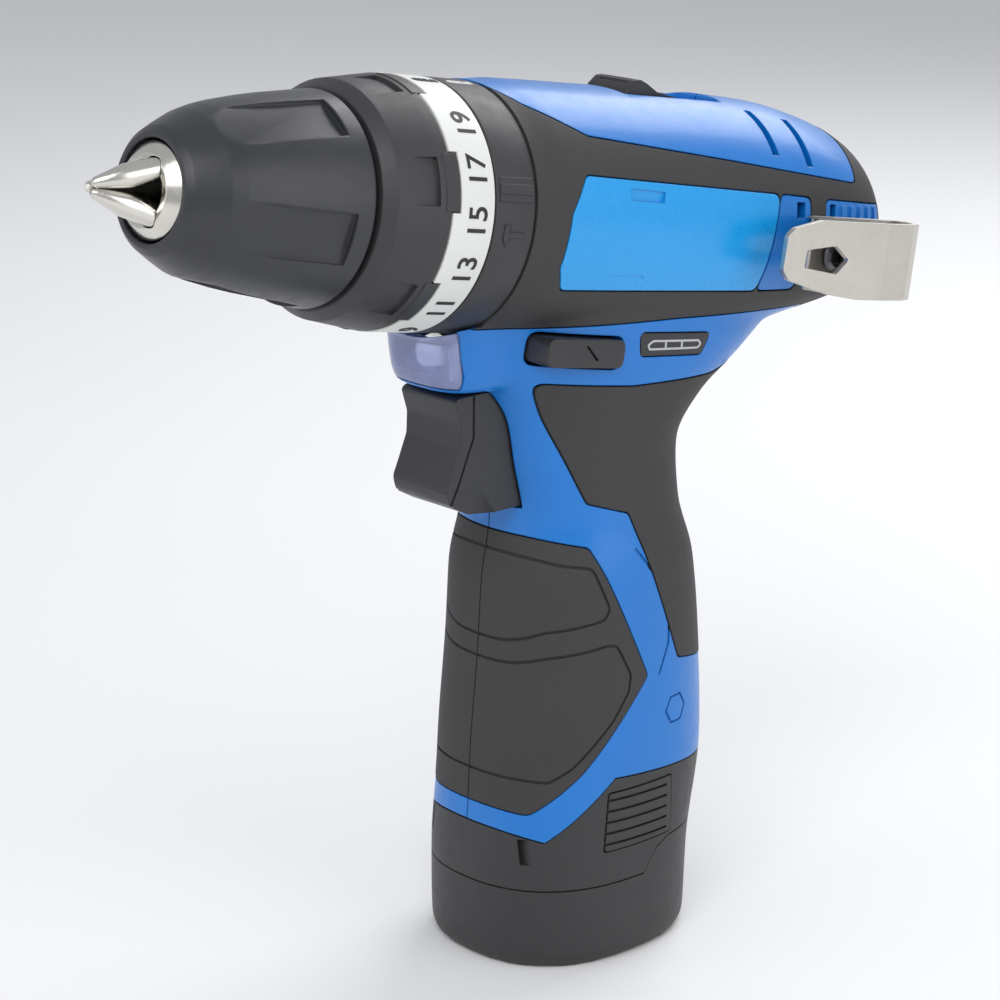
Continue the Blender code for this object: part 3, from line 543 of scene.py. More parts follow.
def span(sign: int, near: float, far: float = FAR) -> Point2:
    """Two distances out to one side of the parting plane, the lower one first."""
    return (near, far) if sign > 0 else (-far, -near)


def rectangle(low: Point2, high: Point2) -> list[Point2]:
    """The corners of an upright rectangle."""
    return [(low[0], low[1]), (high[0], low[1]), (high[0], high[1]), (low[0], high[1])]


def sector(inner: float, outer: float, middle: float, half: float, steps: int = 14) -> list[Point2]:
    """A slice of a ring about the chuck axis, seen along it.

    Args:
        inner: the ring's inner radius.
        outer: its outer radius.
        middle: the slice's middle, in degrees from the drill's left, upwards.
        half: half of the angle it covers, in degrees.
        steps: straight pieces in each arc.

    Returns:
        The slice's outline.
    """
    angles = [math.radians(middle - half + 2 * half * i / steps) for i in range(steps + 1)]
    return ([(outer * math.cos(a), outer * math.sin(a)) for a in angles]
            + [(inner * math.cos(a), inner * math.sin(a)) for a in reversed(angles)])


def smoothed(rows: Rows, spacing: float) -> list[list[float]]:
    """Fills in between stations on smooth curves through them.

    Args:
        rows: the stations, each a place followed by its sizes.
        spacing: the wanted distance between the new stations.

    Returns:
        The closer stations.
    """
    def slope(index: int, column: int) -> float:
        """The slope of one column at a station, level where it turns round."""
        if index in (0, len(rows) - 1):
            near = rows[1] if index == 0 else rows[-2]
            return (rows[index][column] - near[column]) / (rows[index][0] - near[0])
        before, here, after = rows[index - 1], rows[index], rows[index + 1]
        left = (here[column] - before[column]) / (here[0] - before[0])
        right = (after[column] - here[column]) / (after[0] - here[0])
        return 0.0 if left * right <= 0 else 2 * left * right / (left + right)

    made = []
    for index, (a, b) in enumerate(zip(rows, rows[1:])):
        span = b[0] - a[0]
        count = max(2, round(abs(span) / spacing))
        for step in range(count + (index == len(rows) - 2)):
            t = step / count
            row = [a[0] + span * t]
            for column in range(1, len(a)):
                row.append((2 * t ** 3 - 3 * t ** 2 + 1) * a[column]
                           + (t ** 3 - 2 * t ** 2 + t) * span * slope(index, column)
                           + (3 * t ** 2 - 2 * t ** 3) * b[column]
                           + (t ** 3 - t ** 2) * span * slope(index + 1, column))
            made.append(row)
    return made


def oval(angle: float, half_a: float, half_b: float, power: float) -> Point2:
    """A point on a superellipse."""
    c, s = math.cos(angle), math.sin(angle)
    return (half_a * math.copysign(abs(c) ** (2 / power), c),
            half_b * math.copysign(abs(s) ** (2 / power), s))


# ---------------------------------------------------------------- solids

class Solid:
    """A closed body in the world frame that is shaped by booleans and modifiers."""

    shelf: list[bpy.types.Object] = []

    def __init__(self, mesh: bpy.types.Mesh) -> None:
        """Puts a mesh in metres on the bench."""
        self.obj = bpy.data.objects.new("bench", mesh)
        bpy.context.scene.collection.objects.link(self.obj)
        Solid.shelf.append(self.obj)

    @classmethod
    def from_bmesh(cls, bm: bmesh.types.BMesh, matrix: Matrix) -> "Solid":
        """Turns a bmesh into a solid in world metres, with its faces outwards.

        Args:
            bm: the mesh in a plane's millimetres, which is freed.
            matrix: from that plane to world millimetres.

        Returns:
            The solid.
        """
        bm.transform(matrix)
        bmesh.ops.recalc_face_normals(bm, faces=bm.faces)
        if bm.calc_volume(signed=True) < 0:
            bmesh.ops.reverse_faces(bm, faces=bm.faces)
        bm.transform(Matrix.Scale(MM, 4))
        mesh = bpy.data.meshes.new("bench")
        bm.to_mesh(mesh)
        bm.free()
        return cls(mesh)

    @classmethod
    def clear(cls) -> None:
        """Takes everything that is left on the bench away."""
        for obj in cls.shelf:
            bpy.data.objects.remove(obj, do_unlink=True)
        cls.shelf.clear()

    def copy(self) -> "Solid":
        """Another solid of the same shape."""
        return Solid(self.obj.data.copy())

    def mirrored(self) -> "Solid":
        """The same solid on the drill's other side."""
        other = self.copy()
        other.obj.data.transform(Matrix.Scale(-1.0, 4, (0.0, 1.0, 0.0)))
        other.obj.data.flip_normals()
        return other

    def settle(self) -> "Solid":
        """Applies the modifiers that are waiting."""
        shaped = self.obj.evaluated_get(bpy.context.evaluated_depsgraph_get())
        mesh = bpy.data.meshes.new_from_object(shaped)
        self.obj.modifiers.clear()
        self.obj.data = mesh
        return self

    def shape(self, kind: str, **settings: object) -> "Solid":
        """Adds a modifier and applies it.

        Args:
            kind: the modifier's type.
            settings: its properties.

        Returns:
            The solid itself.
        """
        modifier = self.obj.modifiers.new(kind.lower(), kind)
        for key, value in settings.items():
            setattr(modifier, key, value)
        return self.settle()

    def _combine(self, operation: str, others: Sequence["Solid"]) -> "Solid":
        """Joins the other solids into one tool, then applies a single boolean with it.

        Args:
            operation: the modifier's operation.
            others: the solids that are cut away, joined on or kept to.

        Returns:
            The solid itself.
        """
        tool = others[0]
        if len(others) > 1:
            tool = others[0].copy()
            for other in others[1:]:
                tool._combine("UNION", [other])
        modifier = self.obj.modifiers.new(operation.lower(), "BOOLEAN")
        modifier.operation = operation
        modifier.solver = "MANIFOLD"
        modifier.object = tool.obj
        return self.settle()

    def minus(self, *others: "Solid") -> "Solid":
        """Cuts the other solids away."""
        return self._combine("DIFFERENCE", others)

    def plus(self, *others: "Solid") -> "Solid":
        """Joins the other solids on."""
        return self._combine("UNION", others)

    def inside(self, other: "Solid") -> "Solid":
        """Keeps what is inside another solid."""
        return self._combine("INTERSECT", [other])


def prism(loop: Sequence[Point2], plane: Plane, low: float, high: float, radius: float = 0.0,
          turn: Optional[Matrix] = None) -> Solid:
    """A solid with the same outline all the way through.

    Args:
        loop: the outline.
        plane: the plane it is drawn in.
        low: where the solid starts, across the plane.
        high: where it ends.
        radius: how far its corners are rounded.
        turn: a further placement in the plane's own frame.

    Returns:
        The solid.
    """
    bm = bmesh.new()
    points = filleted(loop, radius) if radius else list(loop)
    rows = [[bm.verts.new((a, b, c)) for a, b in points] for c in (low, high)]
    for i in range(len(points)):
        j = (i + 1) % len(points)
        bm.faces.new((rows[0][i], rows[0][j], rows[1][j], rows[1][i]))
    caps = [bm.faces.new(row) for row in rows]
    bmesh.ops.triangulate(bm, faces=caps)
    return Solid.from_bmesh(bm, plane_matrix(plane) @ (turn or Matrix.Identity(4)))


def turned(profile: Sequence[Point2], radius: float = 0.0, place: Optional[Matrix] = None,
           steps: int = ROUND) -> Solid:
    """A turned solid.

    Args:
        profile: (place along the axis, radius) points of the closed half section; points of
            radius 0 lie on the axis.
        radius: how far the profile's corners are rounded.
        place: the matrix from (across, across, along) to the world; the head's axis if None.
        steps: how many sides the turning has.

    Returns:
        The solid.
    """
    points = filleted(profile, radius, 4) if radius else list(profile)
    bm = bmesh.new()
    rings = []
    for along, size in points:
        if size < 1e-4:
            rings.append([bm.verts.new((0.0, 0.0, along))])
        else:
            angles = [2 * math.pi * i / steps for i in range(steps)]
            rings.append([bm.verts.new((size * math.cos(a), size * math.sin(a), along))
                          for a in angles])
    for ring, following in zip(rings, rings[1:] + rings[:1]):
        for i in range(steps):
            j = (i + 1) % steps
            if len(ring) == 1 and len(following) == 1:
                break
            corners = ([ring[0]] if len(ring) == 1 else [ring[i], ring[j]])
            corners += ([following[0]] if len(following) == 1 else [following[j], following[i]])
            bm.faces.new(corners)
    return Solid.from_bmesh(bm, place or plane_matrix(Plane.HEAD_CROSS))


def loft(rings: Sequence[Sequence[Sequence[float]]], matrix: Matrix) -> Solid:
    """A closed skin over rings of points, with a cap at both ends.

    Args:
        rings: the rings, each with the same number of points.
        matrix: from the points' frame to world millimetres.

    Returns:
        The solid.
    """
    bm = bmesh.new()
    rows = [[bm.verts.new(point) for point in ring] for ring in rings]
    for row, following in zip(rows, rows[1:]):
        for i in range(len(row)):
            j = (i + 1) % len(row)
            bm.faces.new((row[i], row[j], following[j], following[i]))
    caps = [bm.faces.new(rows[0]), bm.faces.new(rows[-1])]
    bmesh.ops.triangulate(bm, faces=caps)
    return Solid.from_bmesh(bm, matrix)


def block(low: Sequence[float], high: Sequence[float], plane: Plane, radius: float = 0.0) -> Solid:
    """A block between two corners (a, b, c) of a plane, with rounded upright corners."""
    return prism(rectangle(low[:2], high[:2]), plane, low[2], high[2], radius)


def fitted(solid: Solid, name: str, finish: Finish, body: Body, *nodes: str,
           angle: float = 32.0) -> bpy.types.Object:
    """Makes a finished piece of the drill from a solid.

    Args:
        solid: the shape, whose mesh the piece takes over.
        name: the piece's name.
        finish: what it is made of.
        body: the body it rides on.
        nodes: the CAD nodes it stands for.
        angle: edges sharper than this, in degrees, stay sharp.

    Returns:
        The piece.
    """
    bm = bmesh.new()
    bm.from_mesh(solid.obj.data)
    bmesh.ops.remove_doubles(bm, verts=bm.verts, dist=2e-6)
    bmesh.ops.dissolve_degenerate(bm, edges=bm.edges, dist=2e-6)
    mesh = bpy.data.meshes.new(name)
    bm.to_mesh(mesh)
    bm.free()
    mesh.materials.append(finish.material())
    mesh.shade_smooth()
    mesh.set_sharp_from_angle(angle=math.radians(angle))
    piece = bpy.data.objects.new(name, mesh)
    bpy.context.scene.collection.objects.link(piece)
    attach(piece, body.value)
    if nodes:
        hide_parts(*nodes)
    LOG.info("%s: %d faces", name, len(mesh.polygons))
    return piece


# ---------------------------------------------------------------- the outer form

@dataclass
class OuterForm:
    """The flowing outer form of head, handle, pod and chin that the skins are cut from."""

    head: Rows = (
        (-2.0, 24.4, 24.4, 24.4, 2.0), (-10.4, 24.4, 24.4, 24.4, 2.0),
        (-18.0, 25.1, 25.6, 24.8, 2.1), (-40.0, 25.4, 26.2, 25.0, 2.2),
        (-66.0, 25.8, 25.6, 25.0, 2.2), (-85.0, 25.4, 21.6, 24.7, 2.2),
        (-98.0, 23.6, 17.8, 23.8, 2.2), (-108.0, 20.6, 15.0, 21.9, 2.2),
        (-115.0, 15.8, 11.6, 18.0, 2.1), (-118.9, 9.6, 7.4, 11.8, 2.0))
    handle: Rows = (
        (0.0, -1.0, 24.6, 22.0, 2.4), (2.5, -1.0, 26.0, 23.3, 2.4),
        (18.0, -1.3, 26.4, 23.6, 2.4), (40.0, -4.0, 27.6, 23.3, 2.4),
        (66.0, -4.6, 25.8, 22.6, 2.4), (80.0, -4.2, 24.4, 22.2, 2.4),
        (93.0, -3.6, 21.8, 20.4, 2.25), (105.0, -2.4, 23.4, 19.6, 2.25),
        (114.0, -5.6, 28.6, 19.8, 2.3), (120.0, -9.0, 36.0, 20.2, 2.4),
        (127.0, -10.5, 43.0, 20.6, 2.5), (138.0, -12.0, 44.0, 20.8, 2.5))
    chin: Rows = (
        (121.4, 22.0, 14.4, 11.6, 3.2), (124.0, 22.0, 15.6, 12.6, 3.2),
        (140.0, 22.0, 17.0, 14.0, 3.0))
    voxel: float = 1.1
    relax: int = 5
    tail: Point2 = (-98.0, -118.9)
    open_front: float = 6.0
    kept: dict[float, Solid] = field(default_factory=dict)

    def upright(self, rows: Rows, inset: float, sides: int, spacing: float) -> Solid:
        """One upright loft.

        Args:
            rows: its stations: height, centre, half length, half width and power.
            inset: how far it is set inwards.
            sides: points in each ring.
            spacing: the distance between rings.

        Returns:
            The solid.
        """
        close = smoothed(rows, spacing)
        rings = []
        for index, (z, centre, half_length, half_width, power) in enumerate(close):
            z += inset * ((index == 0) - (index == len(close) - 1))
            points = (oval(2 * math.pi * (i + 0.5) / sides, half_length - inset,
                           half_width - inset, power) for i in range(sides))
            rings.append([(centre + x, y, z) for x, y in points])
        return loft(rings, Matrix.Identity(4))

    def along_head(self, inset: float, sides: int, spacing: float) -> Solid:
        """The loft along the chuck axis.

        Args:
            inset: how far it is set inwards, except at the front, where it is left open.
            sides: points in each ring.
            spacing: the distance between rings.

        Returns:
            The solid.
        """
        close = smoothed(self.head, spacing)
        rings = []
        start, end = self.tail
        for index, (x, top, bottom, half_width, power) in enumerate(close):
            x += inset * max(0.0, start - x) / (start - end)
            x += self.open_front * (index == 0 and inset > 0)
            ring = []
            for i in range(sides):
                y, z = oval(2 * math.pi * (i + 0.5) / sides, half_width - inset, 1.0, power)
                ring.append((y, z * ((top if z > 0 else bottom) - inset), x))
            rings.append(ring)
        return loft(rings, plane_matrix(Plane.HEAD_CROSS))

    def blended(self) -> Solid:
        """The outer form with its joins blended, made once."""
        if 0.0 not in self.kept:
            whole = self.along_head(0.0, 120, 1.6)
            whole.plus(self.upright(self.handle, 0.0, 120, 1.6),
                       self.upright(self.chin, 0.0, 96, 1.6))
            whole.shape("REMESH", mode="VOXEL", voxel_size=self.voxel * MM)
            whole.shape("SMOOTH", factor=0.5, iterations=self.relax)
            self.kept[0.0] = whole
        return self.kept[0.0].copy()

    def swollen(self, amount: float) -> Solid:
        """The blended form, standing proud by an amount."""
        if amount not in self.kept:
            solid = self.blended()
            solid.shape("DISPLACE", mid_level=0.0, strength=amount * MM)
            self.kept[amount] = solid
        return self.kept[amount].copy()

    def inner(self, inset: float) -> Solid:
        """The form set inwards, made once for each inset; it isn't blended."""
        key = -inset
        if key not in self.kept:
            whole = self.along_head(inset, 48, 4.0)
            whole.plus(self.upright(self.handle, inset, 48, 4.0),
                       self.upright(self.chin, inset, 48, 4.0))
            self.kept[key] = whole
        return self.kept[key]


# ---------------------------------------------------------------- housing

@dataclass
class Housing:
    """The two shells with their rubber skins, side panels, vents and the lamp's chin."""

    form: OuterForm
    skin: float = 1.2
    proud: float = 0.12
    wall: float = 2.6
    collar_room: float = 24.9
    collar_back: float = -10.3
    overmould: Sequence[Point2] = (
        (-8.0, 26.0), (-10.8, 23.4), (-14.0, 21.2), (-25.5, 16.8), (-62.0, 14.4), (-102.5, 11.4),
        (-105.5, 30.0), (-124.0, 30.0), (-124.0, -20.0), (-104.0, -20.0), (-97.0, -14.4),
        (-55.0, -17.4), (-10.8, -21.6), (-8.0, -21.8))
    panel: Sequence[Point2] = (
        (-22.6, 9.8), (-76.5, 8.6), (-74.0, -11.2), (-20.6, -12.4), (-18.4, -8.0), (-19.0, 2.4))
    tail_front: Sequence[Point2] = ((-76.8, 8.6), (-86.0, 8.3), (-86.0, -10.7), (-74.3, -11.2))
    tail_back: Sequence[Point2] = (
        (-90.8, 8.1), (-113.0, 7.4), (-113.0, -9.4), (-90.8, -10.4))
    rear_grip: Sequence[Point2] = (
        (20.6, 122.6), (8.4, 96.6), (-0.6, 93.6), (-13.4, 61.0), (-40.0, 55.0),
        (-50.0, 90.0), (-60.0, 116.0), (-42.0, 118.6), (-26.0, 117.6), (-2.0, 119.2))
    front_grip: Sequence[Point2] = (
        (40.0, 92.0), (17.0, 89.8), (8.6, 87.8), (-4.2, 59.4), (11.5, 41.6), (20.5, 33.0),
        (40.0, 37.6))
    upper_pad: Sequence[Point2] = (
        (40.0, 90.0), (24.0, 89.4), (20.0, 86.8), (13.8, 84.9), (8.4, 84.0), (5.0, 75.0),
        (6.2, 72.8), (16.6, 70.7), (20.3, 68.3), (24.0, 67.4), (40.0, 67.0))
    lower_pad: Sequence[Point2] = (
        (40.0, 64.2), (24.0, 63.8), (20.5, 64.4), (16.7, 66.0), (5.9, 67.9), (3.6, 67.4),
        (0.2, 60.6), (0.8, 57.0), (4.6, 51.6), (13.4, 42.6), (17.4, 39.8), (24.0, 40.4),
        (40.0, 42.0))
    pod_seam: Sequence[Point2] = (
        (30.0, 31.0), (24.0, 29.6), (18.5, 27.6), (4.5, 39.6), (-12.0, 38.6), (-34.0, 37.0))
    slider_recess: Sequence[float] = (-73.5, -45.5, 7.0, 23.6)
    button_middle: Point2 = (-31.0, -24.6)
    screws: Sequence[Sequence[float]] = ((-66.0, 141.0, 20.6), (-28.0, 122.6, 17.2),
                                         (27.8, 125.8, 11.2))

    def side(self, loop: Sequence[Point2], plane: Plane, grow: float, radius: float = 1.6,
             near: float = GAP / 2) -> Solid:
        """A side outline run outwards to the left.

        Args:
            loop: the outline.
            plane: the plane it is drawn in.
            grow: how far it grows first.
            radius: how far its corners are rounded.
            near: where the solid starts, from the parting plane.

        Returns:
            The solid.
        """
        return prism(grown(loop, grow), plane, near, FAR, radius)

    def right_half(self) -> Solid:
        """Everything to the right of the left shell's parting face."""
        return block((-150, -20, -80.0), (150, 220, GAP / 2), Plane.SIDE)

    def shared_cuts(self) -> list[Solid]:
        """What is cut from both shells, with the lamp's pocket and the collars' room last.

        Returns:
            Recess, lip and slot of the slider, the holes for trigger and button, lamp, collars.
        """
        back, front, half_width, floor = self.slider_recess
        recess = prism(rectangle((back, -half_width), (front, half_width)), Plane.HEAD_TOP, floor,
                       40.0, 1.8)
        lip = prism([(front + 3.4, 27.2), (front - 0.4, 24.7), (back + 0.6, 24.7),
                     (back - 2.2, 27.2)], Plane.HEAD_SIDE, -half_width - 0.9, half_width + 0.9)
        slot = block((-68.0, -2.6, 15.0), (-51.0, 2.6, 25.0), Plane.HEAD_TOP)
        trigger = prism(rectangle((0.0, 95.4), (60.0, 121.0)), Plane.SIDE, -8.5, 8.5, 2.5)
        a, b = self.button_middle
        button = prism(rectangle((a - 10.8, b - 3.4), (a + 10.8, b + 3.4)), Plane.HEAD_SIDE,
                       -30.0, 30.0, 2.2)
        lens = block((34.0, 122.4, -10.6), (60.0, 140.0, 10.6), Plane.SIDE)
        ring_room = turned([(40.0, 0.0), (40.0, self.collar_room),
                            (self.collar_back, self.collar_room), (self.collar_back, 18.9),
                            (-16.0, 18.9), (-16.0, 0.0)])
        return [recess, lip, slot, trigger, button, lens, ring_room]

    def screw_bosses(self) -> tuple[list[Solid], list[Solid]]:
        """The bosses for the shell screws, and the bores that go through them.

        Returns:
            The bosses and the bores.
        """
        bosses, bores = [], []
        for x, z, depth in self.screws:
            place = Matrix.Translation((x, 0, z)) @ Matrix.Rotation(math.pi / 2, 4, "X")
            bosses.append(turned([(depth, 0), (depth, 4.2), (-depth, 4.2), (-depth, 0)], 0.0,
                                 place, 32))
            seat = depth - 2.9
            bores.append(turned([(40.0, 0), (40.0, 3.2), (seat, 3.2), (seat, 1.7), (-9.0, 1.7),
                                 (-9.0, 0)], 0.0, place, 32))
        return bosses, bores

    def vents(self) -> list[Solid]:
        """The cooling slots high on the flank, and the square holes by the belt clip.

        Returns:
            One cutter for each.
        """
        cuts = []
        for place, middle in ((-77.6, 52.0), (-87.4, 48.0)):
            cuts.append(prism(sector(22.4, 40.0, middle, 14.0), Plane.HEAD_CROSS, place - 1.0,
                              place + 1.0))
        for s, half_long, half_high in ((-83.0, 1.3, 1.6), (-93.2, 1.0, 1.5)):
            low, high = (s - half_long, 5.6 - half_high), (s + half_long, 5.6 + half_high)
            cuts.append(prism(rectangle(low, high), Plane.HEAD_SIDE, 21.0, FAR, 0.3))
        return cuts

    def tail_ribs(self) -> Solid:
        """Upright ribs on the tail beside the belt clip.

        Returns:
            The ribs as one solid.
        """
        ribs = []
        for index in range(5):
            s = -96.6 - 3.2 * index
            ribs.append(prism(rectangle((s - 0.8, -9.0), (s + 0.8, 7.0)), Plane.HEAD_SIDE, 10.0,
                              FAR, 0.5))
        return ribs[0].plus(*ribs[1:]).inside(self.form.swollen(0.5))

    def spine_groove(self) -> Solid:
        """A fine line and a hexagon engraved in the blue spine of the handle.

        Returns:
            The cutter.
        """
        line = [(-1.4, 86.0), (-5.6, 80.6), (-10.2, 69.4), (-10.0, 65.0), (-7.2, 59.0),
                (-7.7, 58.8), (-10.6, 64.9), (-10.8, 69.6), (-6.1, 81.0), (-1.8, 86.4)]
        angles = [math.pi * i / 3 for i in range(6)]
        hexagon = [(-12.5 + 3.4 * math.cos(a), 50.4 + 3.4 * math.sin(a)) for a in angles]
        ring = prism(hexagon, Plane.SIDE, 10.0, FAR, 0.5)
        ring.minus(prism(grown(hexagon, -0.45), Plane.SIDE, 9.0, FAR + 1.0, 0.5))
        return prism(line, Plane.SIDE, 10.0, FAR).plus(ring).minus(self.form.inner(0.4))

    def pocket(self, loop: Sequence[Point2], plane: Plane,
               windows: Sequence[Sequence[Point2]] = ()) -> Solid:
        """The space in the left shell that holds a skin.

        Args:
            loop: the skin's side outline.
            plane: the plane that the outlines are drawn in.
            windows: outlines of the parts that aren't sunk.

        Returns:
            The cutter.
        """
        pocket = self.side(loop, plane, GAP / 2, near=-2.0)
        for window in windows:
            pocket.minus(self.side(window, plane, -GAP / 2, near=-4.0))
        return pocket.minus(self.form.inner(self.skin + GAP))

    def skin_piece(self, loop: Sequence[Point2], plane: Plane, proud: float,
                   windows: Sequence[Sequence[Point2]] = ()) -> Solid:
        """A skin that follows the outer form inside a side outline.

        Args:
            loop: the skin's side outline.
            plane: the plane that the outlines are drawn in.
            proud: how far it stands out of the form.
            windows: outlines of its openings.

        Returns:
            The skin of the left side.
        """
        piece = self.side(loop, plane, -GAP / 2)
        for window in windows:
            piece.minus(self.side(window, plane, GAP / 2))
        return piece.inside(self.form.swollen(proud)).minus(self.form.inner(self.skin))

    def pad_grooves(self) -> list[Solid]:
        """Fine grooves that outline the two finger pads of the front grip.

        Returns:
            One cutter for each pad.
        """
        grooves = []
        for pad in (self.upper_pad, self.lower_pad):
            line = self.side(pad, Plane.SIDE, 0.0, 2.2, -4.0)
            line.minus(self.side(pad, Plane.SIDE, -0.55, 2.0, -6.0))
            grooves.append(line.minus(self.form.inner(0.35)))
        return grooves

    def build(self) -> None:
        """Builds both sides."""
        shared = self.shared_cuts()
        bosses, bores = self.screw_bosses()
        pod_space = prism(list(self.pod_seam) + [(-60.0, 36.0), (-60.0, -10.0), (60.0, -10.0),
                                                 (60.0, 33.0)], Plane.SIDE, -50.0, 50.0)
        tails = (self.tail_front, self.tail_back)
        collar_cut = turned([(40.0, 0.0), (40.0, self.collar_room),
                             (self.collar_back, self.collar_room), (self.collar_back, 0.0)])
        shell = self.form.blended().minus(self.right_half(), pod_space)
        shell.minus(self.form.inner(self.wall)).plus(*bosses)
        for loop, plane, windows in ((self.overmould, Plane.HEAD_SIDE, tails),
                                     (self.rear_grip, Plane.SIDE, ()),
                                     (self.front_grip, Plane.SIDE, ())):
            shell.minus(self.pocket(loop, plane, windows))
        shell.plus(self.tail_ribs()).minus(*shared, self.right_half(), self.spine_groove(),
                                           *self.vents())
        right = shell.mirrored().minus(*bores)
        shell.minus(self.pocket(Gauge.outline, Plane.HEAD_SIDE), Clip.screw_bore(), *bores)
        fitted(shell, "left_shell", BLUE, Body.HOUSING, "left_housing")
        fitted(right, "right_shell", BLUE, Body.HOUSING, "right_housing")
        rubber = self.skin_piece(self.overmould, Plane.HEAD_SIDE, self.proud,
                                 (self.panel, *tails)).minus(collar_cut)
        self.both(rubber, "head_rubber", "overmould", RUBBER)
        self.both(self.panel_skin(), "flank_panel", "side_panel", LIGHT_BLUE)
        rear = self.skin_piece(self.rear_grip, Plane.SIDE, self.proud).minus(shared[3])
        self.both(rear, "rear_grip_rubber", "rear_grip", RUBBER)
        front = self.skin_piece(self.front_grip, Plane.SIDE, self.proud).minus(shared[3])
        self.both(front.minus(*self.pad_grooves()), "front_grip_rubber", "front_grip", RUBBER)

    def both(self, left: Solid, name: str, node: str, finish: Finish) -> None:
        """Fits a left piece and its mirror image on the right.

        Args:
            left: the left piece's shape.
            name: both pieces' name, after the side.
            node: the CAD nodes' name, after the side.
            finish: what they are made of.
        """
        right = left.mirrored()
        fitted(left, f"left_{name}", finish, Body.HOUSING, f"left_{node}")
        fitted(right, f"right_{name}", finish, Body.HOUSING, f"right_{node}")

    def panel_skin(self) -> Solid:
        """The glossy panel on the left flank, with its two catch slots.

        Returns:
            The panel.
        """
        panel = self.skin_piece(self.panel, Plane.HEAD_SIDE, 0.1)
        upper = prism([(-34.0, 7.9), (-43.6, 7.6), (-43.4, 5.4), (-34.4, 5.6)],
                      Plane.HEAD_SIDE, 23.8, FAR, 0.4)
        lower = prism([(-31.6, -9.0), (-40.6, -8.8), (-41.8, -10.9), (-30.6, -11.0)],
                      Plane.HEAD_SIDE, 23.8, FAR, 0.4)
        return panel.minus(upper, lower)

    def build_screws(self) -> None:
        """The shell screws, with six-lobed sockets in their heads."""
        for index, (x, z, depth) in enumerate(self.screws):
            place = Matrix.Translation((x, 0, z)) @ Matrix.Rotation(math.pi / 2, 4, "X")
            screw = turned([(depth, 0), (depth, 2.3), (depth - 0.5, 2.8), (depth - 2.6, 2.8),
                            (depth - 2.6, 1.4), (-8.0, 1.4), (-8.6, 0)], 0.0, place, 48)
            screw.minus(star_socket(place, depth, 1.35, 1.4))
            fitted(screw, f"shell_screw_{index + 1}", SCREW_STEEL, Body.HOUSING,
                   f"housing_screw_{index + 1}")


def star_socket(place: Matrix, top: float, radius: float, depth: float) -> Solid:
    """The six-lobed recess of a screw head.

    Args:
        place: from (across, across, along the screw) to world millimetres.
        top: where the head ends, along the screw.
        radius: the recess's middle radius.
        depth: how deep it is.

    Returns:
        The cutter.
    """
    loop = []
    for i in range(48):
        angle = 2 * math.pi * i / 48
        size = radius * (1.0 + 0.16 * math.cos(6 * angle))
        loop.append((size * math.cos(angle), size * math.sin(angle)))
    bm = bmesh.new()
    rows = [[bm.verts.new((a, b, c)) for a, b in loop] for c in (top - depth, top + 1.0)]
    for i in range(len(loop)):
        j = (i + 1) % len(loop)
        bm.faces.new((rows[0][i], rows[0][j], rows[1][j], rows[1][i]))
    bmesh.ops.triangulate(bm, faces=[bm.faces.new(row) for row in rows])
    return Solid.from_bmesh(bm, place)


# ---------------------------------------------------------------- chuck and collars

